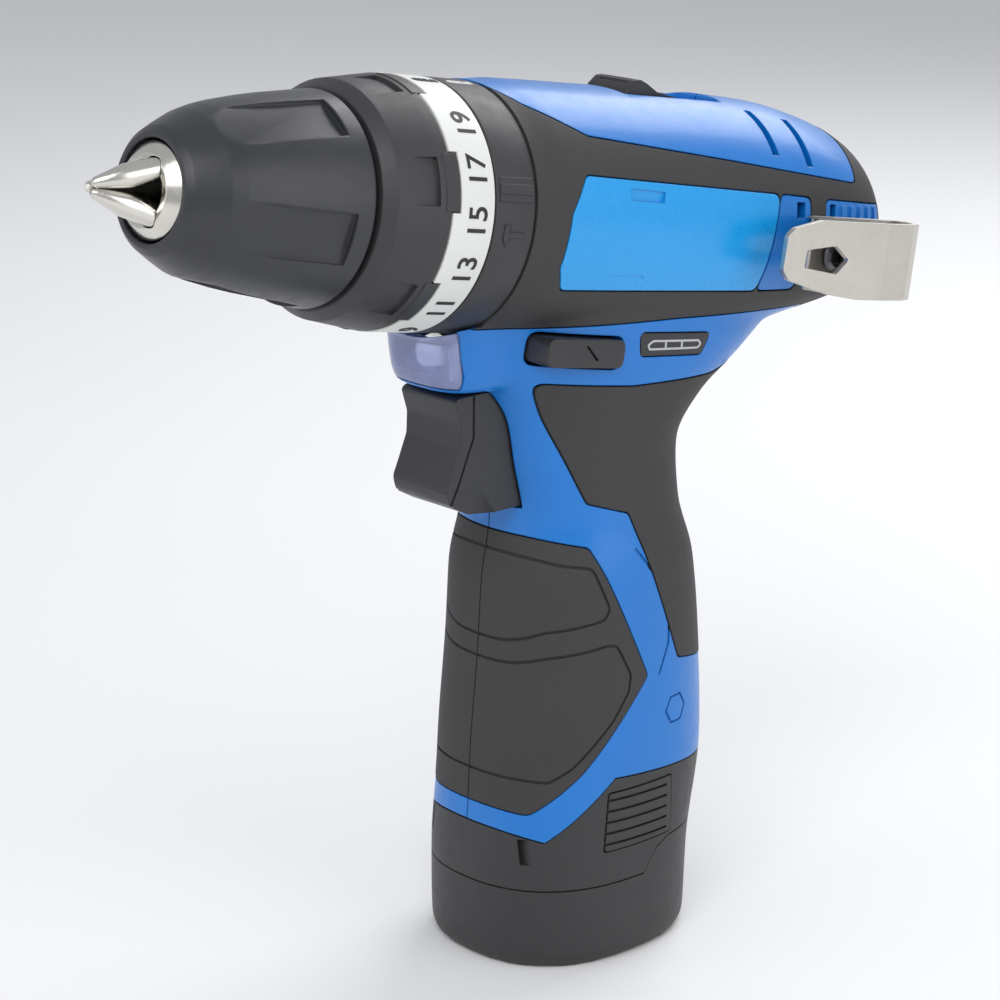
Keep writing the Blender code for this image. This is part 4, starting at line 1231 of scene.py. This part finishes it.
@dataclass
class Chuck:
    """The keyless chuck: nose, jaws, and the grip sleeve with its five hollows."""

    jaw_angle: float = math.radians(17.0)
    jaw_radius: float = 2.3
    jaw_length: float = 30.0
    jaw_tip: float = 71.3
    jaw_offset: float = 1.6
    hollow_count: int = 5
    hollow_turn: float = -15.0
    hollow_half: float = 5.0
    nose: Sequence[Point2] = (
        (62.4, 5.4), (62.4, 6.8), (60.4, 8.9), (52.0, 8.9), (49.6, 12.0), (46.6, 12.0),
        (46.6, 10.2), (40.2, 10.2), (40.2, 14.6), (25.0, 14.6), (25.0, 5.3), (56.0, 5.3))
    sleeve: Sequence[Point2] = (
        (61.0, 9.4), (61.0, 10.3), (59.9, 11.6), (57.2, 13.2), (54.0, 14.9), (51.0, 16.0),
        (48.0, 16.8), (42.0, 18.0), (37.0, 18.8), (33.0, 19.3), (25.4, 20.3), (25.4, 16.9),
        (35.4, 16.9), (35.4, 15.7), (46.6, 15.7), (51.0, 13.0), (56.0, 9.4))

    def jaw_place(self, index: int) -> Matrix:
        """Where one jaw is.

        Args:
            index: which jaw.

        Returns:
            The matrix from (across, across, along the jaw) to world millimetres.
        """
        spin = Matrix.Rotation(2 * math.pi * index / 3 + math.pi / 2, 4, "X")
        slope = Matrix.Rotation(math.pi / 2 + self.jaw_angle, 4, "Y")
        tilt = Matrix.Rotation(-math.atan2(head_axis().z, head_axis().x), 4, "Y")
        tip = Matrix.Translation((self.jaw_tip, 0.0, self.jaw_offset))
        return Matrix.Translation(HEAD_ORIGIN) @ tilt @ spin @ tip @ slope

    def build(self) -> None:
        """Builds the nose, the jaws and the sleeve."""
        nose = turned(self.nose, 0.35)
        for index in range(3):
            nose.minus(turned([(12.0, 0), (12.0, self.jaw_radius + 0.25),
                               (-60.0, self.jaw_radius + 0.25), (-60.0, 0)], 0.0,
                              self.jaw_place(index), 40))
            fitted(self.jaw(index), f"chuck_jaw_{index + 1}", BRIGHT_STEEL,
                   Body.SPINDLE, f"jaw_{index + 1}")
        fitted(nose, "chuck_nose", BRIGHT_STEEL, Body.SPINDLE, "chuck_body")
        self.build_sleeve()

    def jaw(self, index: int) -> Solid:
        """One jaw, cut to a wedge by its two gripping flanks.

        Args:
            index: which jaw.

        Returns:
            The jaw.
        """
        jaw = turned([(2.6, 0), (2.5, 0.5), (1.9, 1.0), (-4.0, self.jaw_radius),
                      (-self.jaw_length, self.jaw_radius), (-self.jaw_length, 0)], 0.0,
                     self.jaw_place(index), 48)
        middle = math.degrees(2 * math.pi * index / 3) + 180.0
        wedge = sector(0.14, 30.0, middle, 59.2)
        apart = prism(wedge, Plane.HEAD_CROSS, 61.5, 95.0)
        behind = turned([(61.6, 0), (61.6, 40.0), (20.0, 40.0), (20.0, 0)])
        return jaw.inside(apart.plus(behind))

    def build_sleeve(self) -> None:
        """The grip sleeve: a dome with five long hollows that end before its back rim."""
        sleeve = turned(self.sleeve, 0.5)
        for index in range(self.hollow_count):
            angle = math.radians(self.hollow_turn + 360.0 * index / self.hollow_count - 90.0)
            turn = Matrix.Rotation(angle, 4, "Z")
            loop = [(-self.hollow_half, 0.0), (self.hollow_half, 0.0),
                    (self.hollow_half, 12.0), (-self.hollow_half, 12.0)]
            slope = (Matrix.Translation((0.0, 18.5, 29.0))
                     @ Matrix.Rotation(math.radians(8.0), 4, "X"))
            cutter = prism(loop, Plane.HEAD_CROSS, 0.0, 40.0, 0.3, turn @ slope)
            sleeve.minus(cutter)
        fitted(sleeve, "grip_sleeve", SLEEVE_BLACK, Body.SLEEVE, "chuck_sleeve", angle=28.0)


@dataclass
class Collars:
    """The torque ring with its tabs and pads, the number band and the mode ring."""

    radius: float = 24.2
    bore: float = 19.0
    band_front: float = 10.3
    tab_front: float = 8.5
    tab_count: int = 6
    tab_turn: float = 17.0
    tab_half: float = 13.0
    pad_half: float = 11.0
    mode_back: float = -10.0
    number_step: float = 22.5
    number_height: float = 4.6
    number_place: float = 4.1
    numbers: Sequence[int] = tuple(range(1, 20, 2))

    def tabs(self, low: float, inner: float, outer: float, extra: float) -> list[Solid]:
        """Slices of a ring, for the torque ring's tabs or the room they need.

        Args:
            low: where they start along the axis.
            inner: their inner radius.
            outer: their outer radius.
            extra: how much wider they are on each side than a tab, in degrees.

        Returns:
            One slice for each tab.
        """
        return [prism(sector(inner, outer, self.tab_turn + 360.0 * i / self.tab_count,
                             self.tab_half + extra), Plane.HEAD_CROSS, low, 12.0)
                for i in range(self.tab_count)]

    def build(self) -> None:
        """Builds the three rings and everything printed or raised on them."""
        back = self.band_front + GAP
        torque = turned([(24.4, 20.6), (22.0, 22.4), (14.0, 23.6), (back, self.radius - 0.1),
                         (back, self.bore), (20.6, self.bore), (20.6, 13.9), (24.4, 13.9)], 0.35)
        torque.plus(*self.tabs(self.tab_front + GAP, self.bore + 0.3, self.radius - 0.1, 0.0))
        for index in range(self.tab_count):
            middle = self.tab_turn + 360.0 * index / self.tab_count
            pad = prism(sector(22.9, 40.0, middle, self.pad_half), Plane.HEAD_CROSS, 13.2, 21.6)
            torque.minus(pad)
        fitted(torque, "torque_collar_ring", COLLAR_BLACK, Body.TORQUE, "torque_ring")
        band = turned([(self.band_front, self.radius), (0.3, self.radius), (0.3, self.bore),
                       (self.band_front, self.bore)], 0.2)
        band.minus(*self.tabs(self.tab_front, self.bore - 1.0, 40.0, 0.6))
        fitted(band, "torque_band", BAND_WHITE, Body.TORQUE, "number_band")
        self.build_numbers()
        self.build_mode_ring()

    def wrapped(self, mesh_solid: Solid, angle: float, place: float) -> Solid:
        """Bends a flat solid, drawn in millimetres, round the collar.

        Args:
            mesh_solid: the solid, with x along the circumference, y towards the chuck and z out.
            angle: where its middle goes, in degrees from the drill's left, upwards.
            place: where its middle goes along the axis.

        Returns:
            The bent solid.
        """
        matrix = Matrix.Scale(MM, 4) @ plane_matrix(Plane.HEAD_CROSS)
        for vertex in mesh_solid.obj.data.vertices:
            x, y, z = vertex.co
            turn = math.radians(angle) + x / self.radius
            size = self.radius + z
            spot = Vector((size * math.cos(turn), size * math.sin(turn), place + y))
            vertex.co = matrix @ spot
        return mesh_solid

    def text(self, words: str, angle: float) -> Solid:
        """A printed number on the band.

        Args:
            words: its digits.
            angle: where its middle goes, in degrees.

        Returns:
            The raised digits.
        """
        curve = bpy.data.curves.new("number", "FONT")
        curve.body = words
        curve.size = self.number_height / 0.73
        curve.align_x, curve.align_y = "CENTER", "CENTER"
        curve.extrude, curve.offset = 0.12, 0.05
        curve.resolution_u = 6
        curve.space_character = 1.02
        return self.wrapped(from_curve(curve), angle, self.number_place)

    def icon(self, loops: Sequence[Sequence[Point2]], angle: float, place: float,
             high: float) -> Solid:
        """A pictogram wrapped on a collar.

        Args:
            loops: its closed outlines.
            angle: where its middle goes, in degrees.
            place: where its middle goes along the axis.
            high: how far it is raised, and sunk.

        Returns:
            The raised pictogram.
        """
        curve = bpy.data.curves.new("icon", "CURVE")
        curve.dimensions, curve.fill_mode = "2D", "BOTH"
        curve.extrude = high
        for loop in loops:
            spline = curve.splines.new("POLY")
            spline.points.add(len(loop) - 1)
            for point, (x, y) in zip(spline.points, loop):
                point.co = (x, y, 0.0, 1.0)
            spline.use_cyclic_u = True
        return self.wrapped(from_curve(curve), angle, place)

    def build_numbers(self) -> None:
        """Odd numbers from 1 to 19, and a drill bit where the clutch is locked."""
        for number in self.numbers:
            angle = (number - 15) / 2 * self.number_step
            fitted(self.text(str(number), angle), f"band_number_{number}", INK, Body.TORQUE)
        fitted(self.icon(drill_bit_icon(), 90.0 - self.number_step / 2, self.number_place, 0.12),
               "band_drill_mark", INK, Body.TORQUE)

    def build_mode_ring(self) -> None:
        """The mode ring with its pointer rib, raised hammer and printed marks."""
        ring = turned([(-0.1, self.radius), (self.mode_back, self.radius),
                       (self.mode_back, self.bore), (-0.1, self.bore)], 0.25)
        ring.plus(prism(sector(self.radius - 2.0, self.radius + 0.45, 15.0, 2.2),
                        Plane.HEAD_CROSS, self.mode_back + 0.8, -0.9),
                  prism(sector(self.radius - 2.0, self.radius + 0.25, 15.0, 5.4),
                        Plane.HEAD_CROSS, self.mode_back + 0.8, -0.9))
        fitted(ring, "mode_collar_ring", COLLAR_BLACK, Body.MODE, "mode_ring")
        fitted(self.icon(hammer_icon(), -5.0, -5.0, 0.22), "mode_hammer_relief", COLLAR_BLACK,
               Body.MODE)
        for index, (word, icon) in enumerate((("drill", drill_bit_icon()),
                                              ("screw", screw_icon()),
                                              ("hammer", hammer_icon()))):
            fitted(self.icon(icon, 80.0 + 20.0 * index, -5.0, 0.1), f"mode_{word}_mark", WHITE_INK,
                   Body.MODE)


def from_curve(curve: bpy.types.Curve) -> Solid:
    """A solid from a filled curve or text.

    Args:
        curve: the curve, in millimetres, with its extrusion set.

    Returns:
        The solid, still flat.
    """
    guide = bpy.data.objects.new("guide", curve)
    bpy.context.scene.collection.objects.link(guide)
    shaped = guide.evaluated_get(bpy.context.evaluated_depsgraph_get())
    mesh = bpy.data.meshes.new_from_object(shaped)
    bpy.data.objects.remove(guide, do_unlink=True)
    bm = bmesh.new()
    bm.from_mesh(mesh)
    bmesh.ops.remove_doubles(bm, verts=bm.verts, dist=0.0005)
    bmesh.ops.recalc_face_normals(bm, faces=bm.faces)
    bm.to_mesh(mesh)
    bm.free()
    mesh.materials.clear()
    return Solid(mesh)


def hammer_icon() -> list[list[Point2]]:
    """A plain claw hammer."""
    head = [(-2.2, 1.5), (-1.0, 2.4), (1.9, 2.4), (1.9, 0.9), (0.55, 0.9), (0.55, -2.8),
            (-0.5, -2.8), (-0.5, 0.9), (-1.2, 0.9)]
    return [head]


def drill_bit_icon() -> list[list[Point2]]:
    """A twist drill: a shank and slanted flutes under a point."""
    loops = [[(-0.7, -2.9), (0.7, -2.9), (0.7, -1.5), (-0.7, -1.5)]]
    for step in range(3):
        low = -1.2 + 1.1 * step
        loops.append([(-0.8, low), (0.8, low + 0.5), (0.8, low + 1.2), (-0.8, low + 0.7)])
    loops.append([(-0.8, 2.2), (0.8, 2.6), (0.0, 3.3)])
    return loops


def screw_icon() -> list[list[Point2]]:
    """A wood screw: a head over tapering threads."""
    loops = [[(-1.6, 2.9), (1.6, 2.9), (0.8, 1.9), (-0.8, 1.9)]]
    for step in range(3):
        low, half = 0.9 - 1.2 * step, 0.9 - 0.2 * step
        loops.append([(-half, low - 0.2), (half, low + 0.2), (half, low + 0.8),
                      (-half, low + 0.4)])
    loops.append([(-0.4, -2.2), (0.4, -2.0), (0.0, -3.1)])
    return loops


# ---------------------------------------------------------------- controls

@dataclass
class Controls:
    """Trigger, direction button and gear slider."""

    trigger_half: float = 8.0
    trigger: Sequence[Point2] = (
        (34.0, 119.6), (32.6, 115.0), (32.8, 110.6), (35.0, 105.4), (36.4, 102.4), (35.6, 99.4),
        (31.0, 96.9), (24.0, 96.0), (12.0, 96.0), (12.0, 120.4), (33.0, 120.4))
    button: Sequence[float] = (-31.0, -24.6, 20.4, 5.6, 21.4)
    slider: Sequence[Point2] = (
        (-47.6, 23.9), (-48.2, 25.6), (-50.0, 27.3), (-51.6, 27.6), (-53.4, 27.0), (-56.6, 25.5),
        (-60.0, 25.0), (-62.4, 24.8), (-62.5, 23.9))

    def build(self) -> None:
        """Builds the three controls."""
        half = self.trigger_half
        trigger = prism(self.trigger, Plane.SIDE, -half, half, 2.6)
        trigger.shape("BEVEL", width=2.6 * MM, segments=6, limit_method="ANGLE",
                      angle_limit=math.radians(60), profile=0.5)
        for sign in (1, -1):
            groove = prism([(38.4, 94.0), (33.6, 103.0), (29.6, 112.0), (29.4, 122.0),
                            (29.0, 122.0), (29.1, 112.0), (33.1, 102.8), (37.9, 93.8)],
                           Plane.SIDE, *span(sign, half - 0.45, half + 4))
            trigger.minus(groove)
        spread = Matrix(((0, 0, 1, 0), (1, 0, 0, 0), (0, 1, 0, 108.0), (0, 0, 0, 1)))
        trigger.plus(turned([(15.0, 0), (15.0, 2.4), (-9.0, 2.4), (-9.0, 0)], 0.0, spread, 32))
        fitted(trigger, "trigger_lever", BLACK, Body.TRIGGER, "trigger", angle=40.0)
        self.build_button()
        self.build_slider()

    def build_button(self) -> None:
        """The push-through direction button, with an arrow cut in each end."""
        a, b, long, high, reach = self.button
        button = prism(rectangle((a - long / 2, b - high / 2), (a + long / 2, b + high / 2)),
                       Plane.HEAD_SIDE, -reach, reach, 1.8)
        button.shape("BEVEL", width=0.9 * MM, segments=4, limit_method="ANGLE",
                     angle_limit=math.radians(60))
        for sign in (1, -1):
            arrow = [(a - 3.4, b - 1.3), (a - 0.2, b + 1.5), (a + 0.6, b + 1.5), (a - 2.6, b - 1.3)]
            button.minus(prism(arrow, Plane.HEAD_SIDE,
                               *span(sign, reach - 0.7, reach + 3)))
        fitted(button, "direction_bar", BLACK, Body.DIRECTION, "direction_button", angle=40.0)

    def build_slider(self) -> None:
        """The two-gear slider, a saddle with ribs across its crest."""
        slider = prism(self.slider, Plane.HEAD_SIDE, -5.6, 5.6, 0.8)
        slider.shape("BEVEL", width=1.1 * MM, segments=4, limit_method="ANGLE",
                     angle_limit=math.radians(60))
        for index in range(4):
            s = -49.6 - 1.5 * index
            slider.minus(prism(rectangle((s - 0.25, 26.1), (s + 0.25, 30.0)), Plane.HEAD_SIDE,
                               -3.8, 3.8))
        slider.plus(block((-57.5, -2.0, 19.4), (-52.5, 2.0, 25.0), Plane.HEAD_TOP))
        fitted(slider, "gear_slider", BLACK, Body.SLIDER, "speed_slider", angle=40.0)


@dataclass
class Gauge:
    """The battery gauge under the head, with its row of lights."""

    form: OuterForm
    outline = ((-45.6, -20.4), (-66.0, -20.0), (-64.0, -24.6), (-46.6, -25.2))
    lights: int = 3

    def build(self) -> None:
        """Builds the dark plate, and the pale frame round the lights, which has a faint painted
        glow.
        """
        plate = prism(grown(self.outline, -GAP / 2), Plane.HEAD_SIDE, 0.2, 45.0, 0.6)
        plate.inside(self.form.blended()).minus(self.form.inner(1.2))
        fitted(plate, "gauge_plate", BLACK, Body.HOUSING, "battery_gauge")
        ring = [(-48.6, -23.9), (-62.6, -23.4), (-63.6, -22.4), (-62.4, -21.5), (-49.4, -21.8),
                (-47.9, -22.8)]
        frame_ = prism(ring, Plane.HEAD_SIDE, 10.0, 45.0, 0.5)
        frame_.minus(prism(grown(ring, -0.42), Plane.HEAD_SIDE, 9.0, 46.0, 0.3))
        for index in range(self.lights - 1):
            s = -53.0 - 4.6 * index
            frame_.plus(prism([(s, -24.0), (s - 0.5, -24.0), (s - 0.1, -21.4), (s + 0.4, -21.4)],
                              Plane.HEAD_SIDE, 10.0, 45.0).inside(
                prism(ring, Plane.HEAD_SIDE, 9.5, 45.5, 0.5)))
        frame_.inside(self.form.swollen(0.12)).minus(self.form.inner(0.5))
        # the frame glows faintly: a painted glow, not a lamp
        fitted(frame_, "gauge_frame_painted_glow", GAUGE_INK_PAINTED_GLOW, Body.HOUSING)


@dataclass
class Lamp:
    """The work light in the chin: clear cover and the diode behind it."""

    form: OuterForm

    def build(self) -> None:
        """Builds the cover, with a hollow behind it, and the diode."""
        cover = block((34.3, 122.7, -10.3), (50.0, 139.0, 10.3), Plane.SIDE)
        cover.inside(self.form.blended())
        cover.minus(turned([(40.0, 0.0), (40.0, 25.1), (-10.3, 25.1), (-10.3, 0.0)]),
                    block((30.0, 124.4, -8.0), (35.4, 131.6, 8.0), Plane.SIDE, 0.6))
        fitted(cover, "lamp_cover", LENS, Body.HOUSING, "lamp_lens")
        place = Matrix.Translation((31.6, 0.0, 128.0)) @ Matrix.Rotation(math.pi / 2 + 0.2, 4, "Y")
        diode = turned([(3.4, 0.0), (3.1, 1.0), (2.2, 1.6), (0.4, 1.7), (0.4, 2.9), (0.9, 3.3),
                        (0.9, 3.8), (-0.6, 3.8), (-0.6, 0.0)], 0.15, place, 48)
        fitted(diode, "lamp_diode", LAMP, Body.HOUSING)


@dataclass
class Clip:
    """The belt clip, folded from one strip, and its screw."""

    thick: float = 1.2
    plate: float = 32.6
    foot: float = 25.0
    height: float = 15.6
    middle: float = -3.0

    @staticmethod
    def screw_place() -> Matrix:
        """From (across, across, along the screw) to the world; the screw points outwards."""
        return (plane_matrix(Plane.HEAD_TOP) @ Matrix.Translation((-92.0, 24.0, -3.0))
                @ Matrix.Rotation(-math.pi / 2, 4, "X"))

    @classmethod
    def screw_bore(cls) -> Solid:
        """The bore for the clip's screw."""
        return turned([(3.4, 0), (3.4, 1.8), (-12.0, 1.8), (-12.0, 0)], 0.0, cls.screw_place(),
                      32)

    def build(self) -> None:
        """Builds the strip in side section, then trims its plate to shape."""
        p, f, t = self.plate, self.foot, self.thick
        strip = [(-69.4, p), (-69.4, p + t), (-99.6, p + t), (-108.4, p + 0.2), (-112.2, p - 1.6),
                 (-113.2, p - 4.2), (-112.6, f + 0.9), (-110.6, f), (-85.0, f), (-85.0, f + t),
                 (-110.2, f + t), (-111.4, f + 2.2), (-111.8, p - 4.0), (-110.8, p - 2.2),
                 (-107.6, p - 1.0), (-99.4, p)]
        low = self.middle - self.height / 2
        clip = prism(strip, Plane.HEAD_TOP, low, low + self.height, 1.0)
        shape = [(-69.8, 1.4), (-71.6, 3.0), (-80.0, 4.9), (-90.0, 4.8), (-118.0, 4.8),
                 (-118.0, -10.8), (-92.0, -10.8), (-84.0, -10.0), (-71.6, -7.4), (-69.6, -5.6)]
        clip.inside(prism(shape, Plane.HEAD_SIDE, 20.0, 40.0, 1.6))
        window = [(-75.6, -4.7), (-75.8, -1.2), (-84.4, -0.1), (-88.6, -2.9), (-85.4, -5.8)]
        clip.minus(prism(window, Plane.HEAD_SIDE, 30.0, 40.0, 0.4), self.screw_bore())
        fitted(clip, "belt_clip_strip", CLIP_STEEL, Body.HOUSING, "belt_clip")
        screw = turned([(4.0, 0), (4.0, 2.2), (3.4, 2.8), (2.6, 3.0), (2.5, 1.4), (-9.6, 1.4),
                        (-10.0, 0)], 0.12, self.screw_place(), 48)
        screw.minus(star_socket(self.screw_place(), 4.0, 1.3, 1.2))
        fitted(screw, "clip_fixing", SCREW_STEEL, Body.HOUSING, "clip_screw")


# ---------------------------------------------------------------- battery

@dataclass
class Battery:
    """The slide-in battery: pod, base cap, stick and the two ribbed latches."""

    form: OuterForm
    seam: Sequence[Point2] = Housing.pod_seam
    cap_top: float = 17.0
    cell_radius: float = 9.0
    cell_spots: Sequence[Point2] = ((-9.1, -7.4), (9.1, -7.4), (0.0, 8.36))
    stick_centre: float = -4.5
    stick_top: float = 71.0
    latch: Sequence[Point2] = ((6.0, 36.4), (7.4, 24.4), (-11.0, 24.4), (-11.0, 36.4))
    cap_seam: Sequence[Point2] = ((60.0, 17.0), (-3.0, 17.0), (-6.6, 21.6), (-10.6, 23.2),
                                  (-120.0, 23.2))

    def hull(self, margin: float) -> list[Point2]:
        """The rounded triangle round the three cells.

        Args:
            margin: how far it stays outside them.

        Returns:
            Its outline, seen from above.
        """
        loop = []
        radius = self.cell_radius + margin
        for index, (x, y) in enumerate(self.cell_spots):
            for step in range(17):
                angle = math.radians(150 + 120 * index + 120 * step / 16)
                loop.append((self.stick_centre + x + radius * math.cos(angle),
                             y + radius * math.sin(angle)))
        return loop

    def build(self) -> None:
        """Builds the pod, the cap and the latches."""
        above = prism([(x, z - GAP) for x, z in self.seam]
                      + [(-120.0, 37.0), (-120.0, 230.0), (60.0, 230.0), (60.0, 33.0)],
                      Plane.SIDE, -60, 60)
        below = prism([(x, z + GAP) for x, z in self.cap_seam]
                      + [(-120.0, -20.0), (60.0, -20.0)], Plane.SIDE, -60, 60)
        cells = prism(self.hull(0.25), Plane.TOP, 10.0, self.stick_top - 1.6)
        pod = self.form.blended().minus(above, below)
        pod.plus(prism(self.hull(1.0), Plane.TOP, 24.0, self.stick_top))
        pod.minus(cells, prism(self.hull(0.25), Plane.TOP, 3.7, 30.0))
        for sign in (1, -1):
            pod.minus(prism(grown(self.latch, GAP), Plane.SIDE, *span(sign, 19.4), 0.8))
            slot = prism(rectangle((20.6, 22.6), (21.9, 28.0)), Plane.SIDE, *span(sign, 4.0), 0.3)
            pod.minus(slot.minus(self.form.inner(1.4)))
        fitted(pod, "battery_pod", BATTERY_BLACK, Body.BATTERY, "battery_shell")
        base = self.form.blended()
        base.minus(prism(list(self.cap_seam) + [(-120.0, 230.0), (60.0, 230.0)], Plane.SIDE,
                         -60, 60), prism(self.hull(0.25), Plane.TOP, 3.7, 60.0))
        fitted(base, "battery_base", BATTERY_BLACK, Body.BATTERY, "battery_cap")
        for sign, word, body in ((1, "left", Body.LEFT_LATCH), (-1, "right", Body.RIGHT_LATCH)):
            self.build_latch(sign, word, body)

    def build_latch(self, sign: int, word: str, body: Body) -> None:
        """One latch, with grip ribs across it.

        Args:
            sign: 1 for the left and -1 for the right.
            word: the side's name.
            body: the body it rides on.
        """
        near, far = span(sign, 20.9)
        latch = prism(self.latch, Plane.SIDE, near, far, 0.6).inside(self.form.swollen(0.15))
        for index in range(5):
            z = 25.9 + 2.3 * index
            groove = prism([(8.0, z + 0.3), (8.0, z - 0.25), (-9.6, z - 0.6), (-9.6, z - 0.1)],
                           Plane.SIDE, near, far)
            latch.minus(groove.minus(self.form.inner(0.55)))
        fitted(latch, f"{word}_latch_button", BATTERY_BLACK, body, f"{word}_latch")


# ---------------------------------------------------------------- inside

class Insides:
    """The CAD pieces that stay, such as gears, motor and cells, in proper finishes."""

    @staticmethod
    def dress() -> None:
        """Gives each shown CAD node the finish of its material slot."""
        for node in frame["nodes"].values():
            for slot in node.material_slots:
                word = slot.material.name.split(".")[0] if slot.material else ""
                slot.material = CAD_FINISH.get(word, GEAR_STEEL).material()


# ---------------------------------------------------------------- stage

@dataclass
class Studio:
    """A pale floor, a soft light tent and the camera."""

    target: Vector = field(default_factory=lambda: Vector((15.3, 0.0, 95.0)))
    camera: Vector = field(default_factory=lambda: Vector((425.2, 453.6, 273.7)))
    lens: float = 115.2

    def aimed(self, obj: bpy.types.Object, spot: Vector) -> None:
        """Puts an object in the scene, facing the drill.

        Args:
            obj: the light or camera.
            spot: where it goes, in millimetres.
        """
        bpy.context.scene.collection.objects.link(obj)
        obj.location = spot * MM
        obj.rotation_euler = (self.target - spot).to_track_quat("-Z", "Y").to_euler()

    def light(self, name: str, spot: tuple[float, float, float], size: float, power: float,
              colour: Colour = (1.0, 1.0, 1.0)) -> None:
        """One square soft light.

        Args:
            name: its name.
            spot: where it is, in millimetres.
            size: the length of its sides.
            power: its power in watts.
            colour: its colour.
        """
        lamp = bpy.data.lights.new(name, "AREA")
        lamp.size, lamp.energy, lamp.color = size * MM, power, colour
        self.aimed(bpy.data.objects.new(name, lamp), Vector(spot))

    def build(self) -> None:
        """Builds floor, lights, world and camera."""
        bm = bmesh.new()
        bmesh.ops.create_grid(bm, x_segments=40, y_segments=40, size=2.5)
        mesh = bpy.data.meshes.new("floor")
        bm.to_mesh(mesh)
        bm.free()
        mesh.materials.append(self.floor_material())
        floor = bpy.data.objects.new("floor", mesh)
        bpy.context.scene.collection.objects.link(floor)
        self.light("key", (700.0, 520.0, 900.0), 700.0, 6.0)
        self.light("fill", (900.0, -300.0, 400.0), 900.0, 2.0, (0.96, 0.98, 1.0))
        self.light("side", (-250.0, 900.0, 420.0), 800.0, 3.0)
        self.light("rim", (-700.0, -200.0, 700.0), 600.0, 4.5)
        world = bpy.data.worlds.new("studio")
        world.use_nodes = True
        background = world.node_tree.nodes["Background"]
        background.inputs["Color"].default_value = (0.93, 0.95, 1.0, 1.0)
        background.inputs["Strength"].default_value = 0.55
        bpy.context.scene.world = world
        camera = bpy.data.cameras.new("camera")
        camera.lens, camera.sensor_width = self.lens, 36.0
        camera.clip_start, camera.clip_end = 0.01, 20.0
        obj = bpy.data.objects.new("camera", camera)
        self.aimed(obj, self.camera)
        bpy.context.scene.camera = obj
        bpy.context.scene.view_settings.view_transform = "Standard"

    def floor_material(self) -> bpy.types.Material:
        """A pale matt sweep.

        Returns:
            The floor's material.
        """
        material = bpy.data.materials.new("floor_sweep")
        nodes = Nodes(material)
        point = nodes.millimetres()
        cloud = nodes.noise(point, 260.0, 3.0)
        nodes.put(nodes.shader.inputs["Base Color"],
                  nodes.mix(cloud, (0.80, 0.80, 0.80, 1.0), (0.84, 0.84, 0.84, 1.0)))
        nodes.put(nodes.shader.inputs["Roughness"], 0.7)
        nodes.put(nodes.shader.inputs["Normal"], nodes.bump(nodes.noise(point, 1.2, 2.0), 0.03))
        return material


def main() -> None:
    """Builds the drill's looks in order."""
    logging.basicConfig(level=logging.INFO, format="%(name)s %(message)s")
    Studio().build()
    Insides.dress()
    form = OuterForm()
    housing = Housing(form)
    housing.build()
    housing.build_screws()
    Chuck().build()
    Collars().build()
    Controls().build()
    Gauge(form).build()
    Lamp(form).build()
    Clip().build()
    Battery(form).build()
    Solid.clear()


if __name__ == "__main__":
    main()
